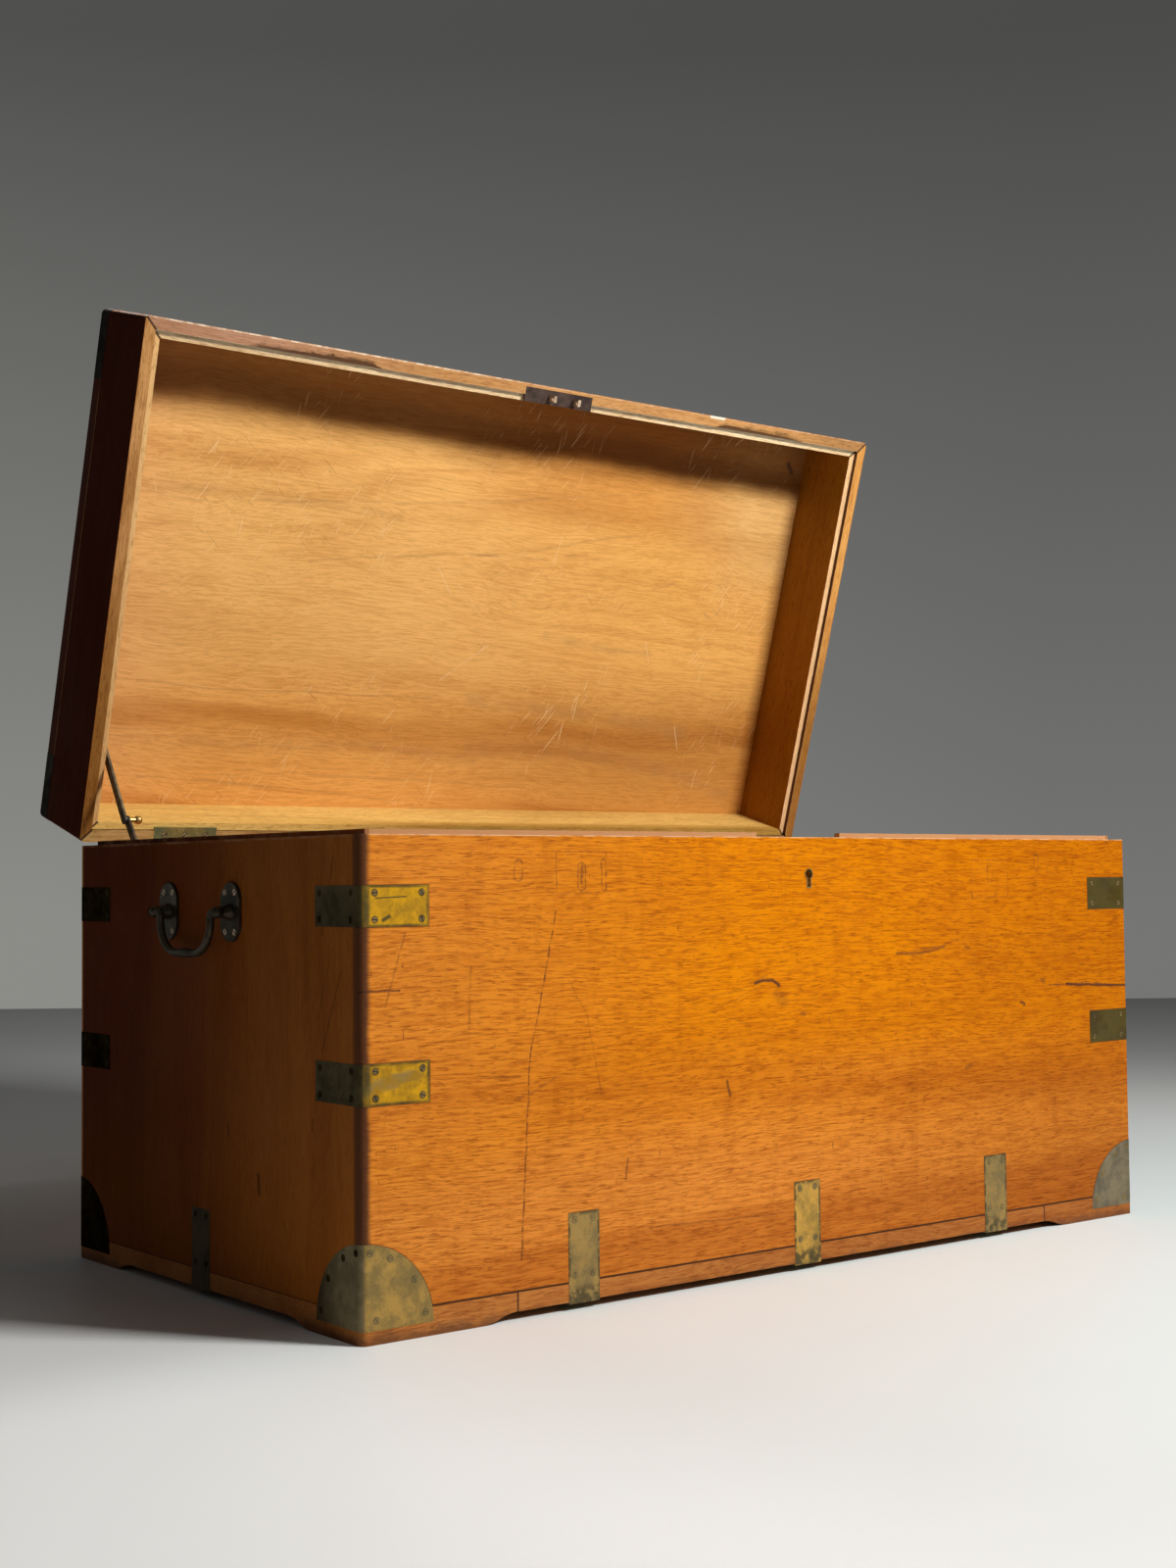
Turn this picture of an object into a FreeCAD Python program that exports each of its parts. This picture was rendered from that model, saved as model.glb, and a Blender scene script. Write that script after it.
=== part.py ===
"""Campaign chest: a camphor-wood trunk with brass-bound edges, a lift-up lid and a folding stay.

Frame: +X along the front (right as seen from the front), -Y towards the front, +Z up.
The case is modelled as it stands, about the middle of its footprint. The lid and all that is on
it are drawn closed and then turned about the hinge pins by OpenAngle, which is how the chest
stands at rest. Last, every piece moves forward by FrameBack, so that the origin is on the floor
under the middle of the whole chest with its lid up.
"""
import math
import os

import FreeCAD
import Part
import Sketcher

V = FreeCAD.Vector

# ---------------------------------------------------------------- driving dimensions
SIZES = [
    # case
    ("CaseWidth", 1000, "outside, left to right"),
    ("CaseDepth", 530, "outside, front to back"),
    ("CaseHeight", 412.5, "floor to the rim that the lid shuts on"),
    ("BoardThick", 20, "case and lid boards"),
    ("BottomThick", 14, "bottom board"),
    ("CornerLap", 8, "front and back boards left over the end boards' ends"),
    ("CornerRound", 6, "rounding of the upright edges"),
    ("TongueWide", 7, "dust tongue along the inner edge of the rim"),
    ("TongueHigh", 4.5, "height of the tongue above the rim"),
    ("TongueClear", 0.5, "room for the tongue in the lid's rebate"),
    # lid
    ("LidHeight", 105, "rim to the top of the lid"),
    ("LidTopThick", 20, "top board of the lid"),
    ("LidRound", 5.4, "rounding of the lid's top edges"),
    ("LidGap", 0.4, "air between the two rims when the lid is shut"),
    ("OpenAngle", 73.6, "degrees from shut to the stay's stop"),
    # plinth and feet
    ("PlinthTop", 23.5, "joint between case and plinth"),
    ("PlinthLow", 7.5, "underside of the plinth rails"),
    ("PlinthWide", 40, "plinth rails and feet, front to back"),
    ("FootLongLeft", 156, "left feet, along the front and back"),
    ("FootLongRight", 150.5, "right feet, along the front and back"),
    ("FootShort", 116, "feet, along the ends"),
    ("OgeeRun", 38, "length of the curve that a foot rises in"),
    # let-in brasses
    ("BrassThick", 1.8, "straps and corner plates"),
    ("BrassProud", 0.25, "how far they stand out of the wood"),
    ("StrapWide", 34, "width of every strap"),
    ("StrapHighLow", 336.5, "upper edge straps, lower side"),
    ("StrapLowLow", 191.5, "lower edge straps, lower side"),
    ("StrapLegFront", 67, "edge straps, leg on the front or back"),
    ("StrapLegEnd", 70, "edge straps, leg on the end"),
    ("BaseInset", 228, "middle of an outer upright strap, in from the front's end"),
    ("BaseStrapTop", 84, "top of the upright straps"),
    ("EndStrapLower", 5, "how much lower the upright strap on an end stops"),
    ("BaseStrapUnder", 28, "part turned in under the plinth"),
    ("CornerBrass", 69.5, "radius of the bottom corner plates"),
    ("CornerBrassLow", 11.5, "lower side of the bottom corner plates"),
    ("LidBrass", 70, "reach of the lid's corner caps"),
    ("LidBrassSkirt", 21, "depth of the caps down the lid's sides"),
    # carrying handles
    ("HandleHeight", 347.5, "pivot above the floor"),
    ("HandleOff", 7, "middle of the handles behind the middle of the case"),
    ("HandleSpan", 119, "between the two back plates of a handle"),
    ("PlateWide", 34, "handle plates"),
    ("PlateTall", 53, "handle plates"),
    ("PlateThick", 3, "handle plates"),
    ("LugReach", 16, "pivot to the chest's end"),
    ("LugRoot", 8.5, "radius of a lug where it leaves its plate"),
    ("LugNeck", 4.6, "radius of a lug below its ball"),
    ("LugBall", 5.4, "radius of the ball that holds the bail"),
    ("BailBar", 3.6, "radius of the bail's bar"),
    ("BailSwell", 4.4, "radius of the grip at its middle"),
    ("SwellInBend", 11.5, "how far the swell's arc runs on inside the bends, past the straight grip"),
    ("BailDrop", 37, "pivot to the middle of the grip"),
    ("BailInset", 11, "bail's arms inside the lugs' middles"),
    ("BailShoulder", 5, "bend from pivot to arm"),
    ("BailArm", 2, "straight of an arm between its two bends"),
    ("BailHead", 4.6, "radius of the riveted heads"),
    ("BailHeadHigh", 2.2, "height of the riveted heads"),
    # hinges
    ("HingeLong", 72, "butt hinges"),
    ("HingeInset", 118, "middle of an outer hinge, in from the back's end"),
    ("LeafWide", 16, "leaf, inside the back face"),
    ("LeafThick", 2, "leaf"),
    ("Knuckle", 3.6, "radius of the barrel"),
    ("PinRadius", 1.6, "hinge pin"),
    ("PinHead", 1.2, "height of a pin's head"),
    # lock
    ("LockX", 8, "lock to the right of the middle"),
    ("KeyHeight", 377, "middle of the keyhole's round part"),
    ("KeyRound", 4.5, "radius of the keyhole"),
    ("KeySlot", 2.2, "half width of its slot"),
    ("KeyDrop", 12.5, "round part to the foot of the slot"),
    ("LinerWall", 0.8, "keyhole liner"),
    ("LinerDeep", 5, "keyhole liner"),
    ("LinerProud", 0.6, "keyhole liner, out of the front"),
    ("LockLong", 94, "lock case and link plate"),
    ("LockTall", 58, "lock case"),
    ("LockDeep", 12, "how far the case is let into the front board"),
    ("LockWall", 1.5, "walls of the case"),
    ("LockFlange", 8, "fixing flange round the case"),
    ("SelvedgeThick", 2, "top plate of the lock"),
    ("LinkWide", 16, "link plate"),
    ("LinkThick", 2, "link plate"),
    ("StapleLong", 10, "staples below the link plate"),
    ("StapleThick", 4, "staples, along the bolt"),
    ("StapleWide", 7.4, "staples, across the bolt"),
    ("StapleLeft", -12, "left staple from the lock's middle"),
    ("StapleRight", 22, "right staple from the lock's middle"),
    ("EyeDrop", 5.6, "rim to the middle of the staples' eyes"),
    ("EyeTall", 5.2, "eye of a staple"),
    ("BoltThick", 2.8, "bolt"),
    ("NoseTall", 3.4, "hooked nose of the bolt"),
    ("BarDrop", 12, "rim to the top of the bolt's bar"),
    ("BarTall", 8, "the bolt's bar"),
    ("HookWide", 4, "upright of a hook, and the ledges that carry the bar"),
    ("BoltTravel", 9, "throw of the bolt"),
    # lid stay
    ("StayDepth", 108.5, "lid pivot to the hinge line"),
    ("StayHeight", 33.4, "lid pivot above the rim of the shut lid"),
    ("UpperLink", 105, "pivot to pivot"),
    ("LowerLink", 100, "pivot to pivot"),
    ("UpperAngle", 57.5, "slope of the upper link with the lid up"),
    ("LowerAngle", 51.8, "slope of the lower link with the lid up"),
    ("LinkBar", 4.5, "half width of the stay's bars"),
    ("LinkPlate", 2.4, "thickness of the stay's bars"),
    ("StayStandoff", 3, "inside of the case to the first bar"),
    ("StudRadius", 2.6, "pivot studs"),
    ("StayPlateMore", 2, "a pivot plate outside a bar, on each side"),
    ("StayPlateStraight", 24, "pivot plate between its round ends"),
    ("StayScrew", 11, "a pivot to the screws above and below it"),
    ("KnobStem", 6, "elbow knob, bar to ball"),
    # clearances
    ("Running", 0.05, "shaft in bore, on the radius"),
    ("Free", 0.4, "between parts that pass each other"),
    # frame
    ("FrameBack", 50.875, "middle of the case to the middle of the whole chest with its lid up"),
]

doc = FreeCAD.newDocument("CampaignChest")
sheet = doc.addObject("Spreadsheet::Sheet", "Sizes")
for row, (alias, number, note) in enumerate(SIZES, start=1):
    sheet.set("A%d" % row, alias)
    sheet.set("B%d" % row, str(number))
    sheet.set("C%d" % row, note)
    sheet.setAlias("B%d" % row, alias)
doc.recompute()


class Size:
    """A length that knows both its expression in the sheet and its present value."""

    def __init__(self, text, number):
        self.text = text
        self.number = float(number)

    def join(self, sign, other, number):
        return Size("(%s %s %s)" % (self.text, sign, size(other).text), number)

    def __add__(self, other):
        return self.join("+", other, self.number + size(other).number)

    def __sub__(self, other):
        return self.join("-", other, self.number - size(other).number)

    def __mul__(self, other):
        return self.join("*", other, self.number * size(other).number)

    def __truediv__(self, other):
        return self.join("/", other, self.number / size(other).number)

    def __neg__(self):
        return Size("(-1 * %s)" % self.text, -self.number)

    def __radd__(self, other):
        return size(other) + self

    def __rsub__(self, other):
        return size(other) - self

    def __rmul__(self, other):
        return size(other) * self


def size(value):
    return value if isinstance(value, Size) else Size("%.10g" % value, value)


def root(value):
    return Size("sqrt(%s)" % value.text, math.sqrt(value.number))


def cosine(angle):
    return Size("cos(%s)" % angle.text, math.cos(math.radians(angle.number)))


def sine(angle):
    return Size("sin(%s)" % angle.text, math.sin(math.radians(angle.number)))


def least(one, other):
    return Size("min(%s; %s)" % (one.text, other.text), min(one.number, other.number))


S = {alias: Size("Sizes.%s" % alias, sheet.get(alias)) for alias, number, note in SIZES}
W, D, H = S["CaseWidth"], S["CaseDepth"], S["CaseHeight"]
BOARD, ROUND, FREE = S["BoardThick"], S["CornerRound"], S["Free"]
THICK, PROUD = S["BrassThick"], S["BrassProud"]

HALF_W, HALF_D = W / 2, D / 2
IN_W, IN_D = HALF_W - BOARD, HALF_D - BOARD             # inner faces of the case
TONGUE_IN = BOARD - S["TongueWide"]                     # outer face to tongue
RIM_LID = H + S["LidGap"]                               # rim of the shut lid
LID_TOP = H + S["LidHeight"]
PANEL_LOW = LID_TOP - S["LidTopThick"]
HINGE_Y = HALF_D + S["Knuckle"] + FREE
HINGE_Z = H + S["LidGap"] / 2
SIDES = {"left": -1, "right": 1}
ENDS = {"front": -1, "back": 1}


# ---------------------------------------------------------------- building helpers
def place(thing, x=0, y=0, z=0, axis="1; 0; 0", angle=0):
    """Bind a placement: a move and a turn about one axis through the thing's own origin."""
    thing.setExpression("Placement", "placement(vector(%s; %s; %s); rotation(vector(%s); %s))" % (
        size(x).text, size(y).text, size(z).text, axis, size(angle).text))


def hang_on_lid(thing):
    """Turn a piece that was drawn on the shut lid to where the open lid holds it."""
    thing.setExpression("Placement", "placement(vector(0; 0; 0); rotation(vector(1; 0; 0); %s); "
                        "vector(0; %s; %s))" % ((-S["OpenAngle"]).text, HINGE_Y.text, HINGE_Z.text))
    return thing


def box(name, x, y, z):
    """A box from the low and high limits along each axis."""
    item = doc.addObject("Part::Box", name)
    for edge, axis, (low, high) in (("Length", "x", x), ("Width", "y", y), ("Height", "z", z)):
        item.setExpression(edge, (size(high) - low).text)
        item.setExpression("Placement.Base.%s" % axis, size(low).text)
    return item


def rod(name, radius, length, x, y, z, axis="0; 0; 1", angle=0):
    item = doc.addObject("Part::Cylinder", name)
    item.setExpression("Radius", size(radius).text)
    item.setExpression("Height", size(length).text)
    place(item, x, y, z, axis, angle)
    return item


def rod_x(name, radius, x, y, z):
    """A rod along X between two limits."""
    return rod(name, radius, size(x[1]) - x[0], x[0], y, z, "0; 1; 0", 90)


def group(name, things):
    item = doc.addObject("Part::Compound", name)
    item.Links = things
    return item


def fuse(name, things):
    item = doc.addObject("Part::MultiFuse", name)
    item.Shapes = things
    item.Refine = True
    return item


def common(name, base, tool):
    item = doc.addObject("Part::Common", name)
    item.Base, item.Tool = base, tool
    return item


def cut(name, base, tools):
    item = doc.addObject("Part::Cut", name)
    item.Base = base
    item.Tool = tools[0] if len(tools) == 1 else group(name + "_tools", tools)
    return item


def new_body(name):
    return doc.addObject("PartDesign::Body", name)


def arc_centre(start, end, radius, turn, large):
    """Centre of the arc between two points; turn is 1 anticlockwise, -1 clockwise."""
    chord = end - start
    middle = (start + end) * 0.5
    reach = math.sqrt(max(radius ** 2 - (chord.Length / 2) ** 2, 0))
    side = V(-chord.y, chord.x, 0).normalize() * reach
    return middle + side * (turn if not large else -turn)


def sketch(body, plane, outlines, offset=0, closed=True):
    """A sketch on one of the body's planes, moved along the plane's normal by offset.

    An outline is a list of corners (across, up). A corner may add (radius, turn) or
    (radius, turn, True): an arc then leads to it from the corner before, the large one if True.
    Every corner is held at its place by sizes from the sheet.
    """
    item = body.newObject("Sketcher::SketchObject", body.Name + "_sketch")
    base = [f for f in body.Origin.OriginFeatures if f.Role == plane + "_Plane"][0]
    item.AttachmentSupport = [(base, "")]
    item.MapMode = "FlatFace"
    item.setExpression("AttachmentOffset.Base.z", size(offset).text)
    for outline in outlines:
        draw_outline(item, outline, closed)
    return item


def draw_outline(item, outline, closed):
    first = item.GeometryCount
    corners = [tuple(size(value) for value in corner[:2]) for corner in outline]
    points = [V(across.number, up.number, 0) for across, up in corners]
    count = len(outline) if closed else len(outline) - 1
    ends = []
    for index in range(count):
        arrive = (index + 1) % len(outline)
        start, end = points[index], points[arrive]
        if len(outline[arrive]) == 2:
            item.addGeometry(Part.LineSegment(start, end), False)
            ends.append((1, 2))
            continue
        radius, turn, large = (tuple(outline[arrive][2]) + (False,))[:3]
        centre = arc_centre(start, end, size(radius).number, turn, large)
        circle = Part.Circle(centre, V(0, 0, 1), size(radius).number)
        low, high = (start, end) if turn > 0 else (end, start)
        item.addGeometry(Part.ArcOfCircle(circle, circle.parameter(low), circle.parameter(high)), False)
        ends.append((1, 2) if turn > 0 else (2, 1))
    for index in range(count):
        edge = first + index
        if index + 1 < count or closed:
            nxt = (index + 1) % count
            item.addConstraint(Sketcher.Constraint("Coincident", edge, ends[index][1], first + nxt, ends[nxt][0]))
        hold(item, edge, ends[index][0], corners[index])
        arrive = (index + 1) % len(outline)
        if len(outline[arrive]) > 2:
            hold_arc(item, edge, size(outline[arrive][2][0]), corners[index], corners[arrive])
    if not closed:
        hold(item, first + count - 1, ends[-1][1], corners[-1])


def hold_arc(item, edge, radius, start, end):
    """Fix an arc's radius, or the middle of a half round, whose radius follows from its ends."""
    across, up = end[0] - start[0], end[1] - start[1]
    if math.hypot(across.number, up.number) < 2 * radius.number - 1e-7:
        number = item.addConstraint(Sketcher.Constraint("Radius", edge, radius.number))
        item.setExpression("Constraints[%d]" % number, radius.text)
        return
    level = abs(across.number) > abs(up.number)
    kind, middle = ("DistanceY", (start[1] + end[1]) / 2) if level else ("DistanceX", (start[0] + end[0]) / 2)
    number = item.addConstraint(Sketcher.Constraint(kind, -1, 1, edge, 3, middle.number))
    item.setExpression("Constraints[%d]" % number, middle.text)


def hold(item, edge, end, corner):
    for kind, value in zip(("DistanceX", "DistanceY"), corner):
        number = item.addConstraint(Sketcher.Constraint(kind, -1, 1, edge, end, value.number))
        item.setExpression("Constraints[%d]" % number, value.text)


def pad(body, profile, length, both=False, back=False):
    """Pad a sketch: up its normal, down it (back) or half each way (both)."""
    item = body.newObject("PartDesign::Pad", body.Name + "_pad")
    item.Profile = profile
    item.setExpression("Length", size(length).text)
    if both:
        item.SideType = "Symmetric"
    item.Reversed = back
    return item


def pocket(body, profile, length=None, both=True, back=False):
    """Pocket a sketch: right through both ways, or to a length on one side."""
    item = body.newObject("PartDesign::Pocket", body.Name + "_pocket")
    item.Profile = profile
    if length is None:
        item.Type = "ThroughAll"
    else:
        item.setExpression("Length", size(length).text)
    if both:
        item.SideType = "Symmetric"
    item.Reversed = back
    return item


def circle(body, plane, x, y, radius, offset=0):
    """A sketch with one circle."""
    item = sketch(body, plane, [], offset)
    item.addGeometry(Part.Circle(V(size(x).number, size(y).number, 0), V(0, 0, 1), size(radius).number), False)
    edge = item.GeometryCount - 1
    number = item.addConstraint(Sketcher.Constraint("Radius", edge, size(radius).number))
    item.setExpression("Constraints[%d]" % number, size(radius).text)
    hold(item, edge, 3, (size(x), size(y)))
    return item


def oblong(low_x, high_x, low_y, high_y):
    return [(low_x, low_y), (high_x, low_y), (high_x, high_y), (low_x, high_y)]


def stadium(half_wide, low, high):
    """An upright slot shape between the centres of its two round ends."""
    return [(-half_wide, low), (half_wide, low, (half_wide, 1)), (half_wide, high),
            (-half_wide, high, (half_wide, 1))]


NODES = {}


def node(name, thing):
    """Name a finished piece: its label is the name of its file."""
    thing.Label = name
    NODES[name] = thing
    return thing


def lid_node(name, drawn):
    """Name a piece of the lid, and turn it from shut, as it is drawn, to open."""
    return hang_on_lid(node(name, group(name, [drawn])))


# ---------------------------------------------------------------- let-in brasses
def angle_outline(side, end, leg_front, leg_end, proud=PROUD, thick=THICK):
    """Plan of a brass that wraps an upright edge: side and end are the signs of X and Y."""
    out_x, out_y = HALF_W + proud, HALF_D + proud
    outer = ROUND + proud
    inner = outer - thick
    turn = side * end
    return [(side * (HALF_W - leg_front), end * out_y),
            (side * (out_x - outer), end * out_y),
            (side * out_x, end * (out_y - outer), (outer, -turn)),
            (side * out_x, end * (HALF_D - leg_end)),
            (side * (out_x - thick), end * (HALF_D - leg_end)),
            (side * (out_x - thick), end * (out_y - outer)),
            (side * (out_x - outer), end * (out_y - thick), (inner, turn)),
            (side * (HALF_W - leg_front), end * (out_y - thick))]


def edge_strap(name, side, end, low):
    body = new_body(name)
    plan = angle_outline(side, end, S["StrapLegFront"], S["StrapLegEnd"])
    pad(body, sketch(body, "XY", [plan], low), S["StrapWide"])
    return body


def corner_plate(name, side, end):
    """A brass quarter round on each face, joined round the upright edge."""
    radius, low = S["CornerBrass"], S["CornerBrassLow"]
    body = new_body(name + "_angle")
    plan = angle_outline(side, end, radius, radius)
    pad(body, sketch(body, "XY", [plan], low), radius)
    reach = radius + BOARD
    across = rod(name + "_across", radius + PROUD, 2 * reach, side * (HALF_W + PROUD),
                 end * HALF_D + reach, low, "1; 0; 0", 90)
    along = rod(name + "_along", radius + PROUD, 2 * reach, side * HALF_W - reach,
                end * (HALF_D + PROUD), low, "0; 1; 0", 90)
    return common(name, common(name + "_front", body, across), along)


def base_strap(name, plane, middle, face, sign, top):
    """An upright strap on one face that turns in under the plinth.

    plane is the upright plane across the strap; middle is the strap's place along the face.
    """
    body = new_body(name)
    out = sign * (face + PROUD)
    inner = sign * (face + PROUD - THICK)
    toe = sign * (face - S["BaseStrapUnder"])
    under = S["PlinthLow"] - THICK
    outline = [(out, under), (toe, under), (toe, S["PlinthLow"]), (inner, S["PlinthLow"]),
               (inner, top), (out, top)]
    offset = middle if plane == "YZ" else -size(middle)
    pad(body, sketch(body, plane, [outline], offset), S["StrapWide"], both=True)
    return body


edge_straps, corner_plates = {}, {}
for side_name, side in SIDES.items():
    for end_name, end in ENDS.items():
        corner = "%s_%s" % (end_name, side_name)
        pair = [edge_strap("edge_strap_upper_" + corner, side, end, S["StrapHighLow"]),
                edge_strap("edge_strap_lower_" + corner, side, end, S["StrapLowLow"])]
        edge_straps[side, end] = node("edge_straps_" + corner, group("edge_straps_" + corner, pair))
        corner_plates[side, end] = node("corner_brass_" + corner,
                                        corner_plate("corner_brass_" + corner, side, end))

base_x = [S["BaseInset"] - HALF_W, size(0), HALF_W - S["BaseInset"]]
front_base = [base_strap("base_strap_front_%d" % place_no, "YZ", middle, HALF_D, -1, S["BaseStrapTop"])
              for place_no, middle in enumerate(base_x, start=1)]
base_straps_front = node("base_straps_front", group("base_straps_front", front_base))
base_straps_end = {side: node("base_strap_%s_end" % name,
                              base_strap("base_strap_%s_end" % name, "XZ", S["HandleOff"], HALF_W, side,
                                         S["BaseStrapTop"] - S["EndStrapLower"]))
                   for name, side in SIDES.items()}


# ---------------------------------------------------------------- screws
def screws(name, places, head_radius, head_high, shank_radius, shank_long):
    """One group of like screws. Each place is a head's outer middle and the way it drives."""
    item = doc.addObject("Part::Feature", name)
    solids = []
    for spot, way in places:
        spot = V(*[size(value).number for value in spot])
        head = Part.makeCylinder(head_radius, head_high, spot, way)
        shank = Part.makeCylinder(shank_radius, shank_long, spot + way * head_high, way)
        solids.append(head.fuse(shank))
    item.Shape = Part.makeCompound(solids)
    return item


# head radius, head height, shank radius and shank length
LARGE_SCREW = (2.9, 1.4, 1.4, 12)
SMALL_SCREW = (2.2, 1.1, 1.1, 9)
hinge_x = {"left": S["HingeInset"] - HALF_W, "centre": size(0), "right": HALF_W - S["HingeInset"]}
leaf_mid = HALF_D - S["LeafWide"] / 2
hinge_spots = [middle + S["HingeLong"] / 3 * step for middle in hinge_x.values() for step in (-1, 0, 1)]
screws_case_hinges = screws("hinge_screws_case", [((x, leaf_mid, H), V(0, 0, -1)) for x in hinge_spots],
                            *LARGE_SCREW)
screws_lid_hinges = screws("hinge_screws_lid", [((x, leaf_mid, RIM_LID), V(0, 0, 1)) for x in hinge_spots],
                           *LARGE_SCREW)


# ---------------------------------------------------------------- carrying handles
def lug_plate(name, side, along):
    """An oval back plate with a tapered lug, whose ball holds one end of the bail."""
    body = new_body(name)
    half = S["PlateWide"] / 2
    straight = S["PlateTall"] / 2 - half
    pad(body, sketch(body, "YZ", [stadium(half, -straight, straight)]), S["PlateThick"], back=True)
    reach, neck, ball = S["LugReach"], S["LugNeck"], S["LugBall"]
    shoulder = root(ball * ball - neck * neck) - reach
    profile = [(0, 0), (0, S["LugRoot"]), (shoulder, neck), (-reach - ball, 0, (ball, 1))]
    revolve(body, sketch(body, "XY", [profile]))
    pocket(body, circle(body, "XZ", -reach, 0, S["BailBar"] + S["Running"]))
    place(body, side * HALF_W, S["HandleOff"] + along * S["HandleSpan"] / 2, S["HandleHeight"],
          "0; 0; 1", 0 if side < 0 else 180)
    return body


def revolve(body, profile):
    """Turn a sketch about its own horizontal axis."""
    item = body.newObject("PartDesign::Revolution", body.Name + "_turned")
    item.Profile = profile
    item.ReferenceAxis = (profile, ["H_Axis"])
    item.Angle = 360
    return item


def dome_radius(half, high):
    """Radius of the arc that rises by high over a chord of twice half."""
    return (half * half + high * high) / (2 * high)


def bail(name, side):
    """The hanging handle: a round bar bent to a wide U, swelled at the grip, with riveted ends."""
    body = new_body(name)
    arm = S["HandleSpan"] / 2 - S["BailInset"]
    tip = S["HandleSpan"] / 2 + S["LugBall"] + FREE
    bend, drop = S["BailShoulder"], S["BailDrop"]
    corner = drop - bend - S["BailArm"]
    path = sketch(body, "YZ", [[
        (-tip, 0), (-arm - bend, 0), (-arm, -bend, (bend, -1)), (-arm, corner - drop),
        (corner - arm, -drop, (corner, 1)), (arm - corner, -drop), (arm, corner - drop, (corner, 1)),
        (arm, -bend), (arm + bend, 0, (bend, -1)), (tip, 0)]], closed=False)
    bar = body.newObject("PartDesign::AdditivePipe", name + "_bar")
    bar.Profile = circle(body, "XZ", 0, 0, S["BailBar"], tip)
    bar.Spine = path
    head, high = S["BailHead"], S["BailHeadHigh"]
    for end in (-1, 1):
        dome = [(end * tip, 0), (end * tip, head), (end * (tip + high), 0, (dome_radius(head, high), -end))]
        revolve(body, sketch(body, "YZ", [dome]))
    grip, swell = arm - corner + S["SwellInBend"], S["BailSwell"]
    profile = sketch(body, "YZ", [[(-grip, 0, (dome_radius(grip, swell), 1)), (grip, 0)]])
    profile.setExpression("AttachmentOffset.Base.y", (-drop).text)
    revolve(body, profile)
    place(body, side * (HALF_W + S["LugReach"]), S["HandleOff"], S["HandleHeight"])
    return node(name, body)


handle_screws = {}
for side_name, side in SIDES.items():
    plates = [lug_plate("lug_plate_%s_%s" % (side_name, end_name), side, end) for end_name, end in ENDS.items()]
    face = side * (HALF_W + S["PlateThick"])
    spots = [((face, S["HandleOff"] + along * S["HandleSpan"] / 2 + across * S["PlateWide"] / 4,
               S["HandleHeight"] + up * S["PlateTall"] / 3), V(-side, 0, 0))
             for along in (-1, 1) for across in (-1, 1) for up in (-1, 1)]
    handle_screws[side] = screws("handle_screws_" + side_name, spots, *LARGE_SCREW)
    node("handle_plates_" + side_name,
         cut("handle_plates_" + side_name, group("lug_plates_" + side_name, plates), [handle_screws[side]]))
    bail("handle_bail_" + side_name, side)
node("handle_screws", group("handle_screws", list(handle_screws.values())))


# ---------------------------------------------------------------- hinges
def hinge_leaf(name, middle, way):
    """One leaf with its share of the five knuckles: way is -1 for the case, 1 for the lid."""
    body = new_body(name)
    half_gap, thick, barrel = S["LidGap"] / 2, S["LeafThick"], S["Knuckle"]
    near, far = HINGE_Z + way * half_gap, HINGE_Z + way * (half_gap + thick)
    near_y = HINGE_Y - root(barrel * barrel - half_gap * half_gap)
    far_y = HINGE_Y - root(barrel * barrel - (half_gap + thick) * (half_gap + thick))
    inner = HALF_D - S["LeafWide"]
    outline = [(inner, near), (near_y, near), (far_y, far, (barrel, way, True)), (inner, far)]
    pad(body, sketch(body, "YZ", [outline], middle), S["HingeLong"], both=True)
    step = S["HingeLong"] / 5
    others = (-1, 1) if way < 0 else (-2, 0, 2)
    gaps = [oblong(middle + step * (k - 0.5) - FREE / 2, middle + step * (k + 0.5) + FREE / 2,
                   HALF_D, HINGE_Y + barrel + 1) for k in others]
    pocket(body, sketch(body, "XY", gaps, HINGE_Z))
    pocket(body, circle(body, "YZ", HINGE_Y, HINGE_Z, S["PinRadius"] + S["Running"], middle))
    return body


def hinge_pin(name, middle):
    """The pin, with a low head at each end of the barrel."""
    half, head = S["HingeLong"] / 2, S["PinHead"]
    parts = [rod_x(name + "_rod", S["PinRadius"], (middle - half - FREE, middle + half + FREE), HINGE_Y, HINGE_Z)]
    for end, (low, high) in enumerate(((-half - FREE / 2 - head, -half - FREE / 2),
                                       (half + FREE / 2, half + FREE / 2 + head)), start=1):
        parts.append(rod_x("%s_head_%d" % (name, end), S["Knuckle"] - FREE, (middle + low, middle + high),
                           HINGE_Y, HINGE_Z))
    return fuse(name, parts)


screws_case_hinges = node("hinge_screws_case", screws_case_hinges)
case_leaves, lid_leaves = [], []
for name, middle in hinge_x.items():
    lower = cut("hinge_%s_case_leaf" % name, hinge_leaf("case_leaf_" + name, middle, -1), [screws_case_hinges])
    upper = cut("hinge_%s_lid_leaf_shut" % name, hinge_leaf("lid_leaf_" + name, middle, 1), [screws_lid_hinges])
    case_leaves.append(node("hinge_%s_case_leaf" % name, lower))
    lid_leaves.append(upper)
hinge_pins = node("hinge_pins", group("hinge_pins", [hinge_pin("hinge_pin_" + name, middle)
                                                     for name, middle in hinge_x.items()]))

# ---------------------------------------------------------------- lock
LOCK_X = S["LockX"]
HALF_LOCK = S["LockLong"] / 2
CASE_LOW = H - S["LockTall"]
WOOD_Y = -IN_D - S["LockDeep"]                          # wood left in front of the case
PLATE_Y = -IN_D - S["SelvedgeThick"]                    # front of the case's back plate
BOLT_Y = (WOOD_Y + PLATE_Y) / 2                         # middle of the bolt and staples
EYE_Z = H - S["EyeDrop"]                                # middle of the staples' eyes
BAR_TOP = H - S["BarDrop"]
BAR_LOW = BAR_TOP - S["BarTall"]
HOOK = S["HookWide"]
staple_x = [LOCK_X + S["StapleLeft"], LOCK_X + S["StapleRight"]]


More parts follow.
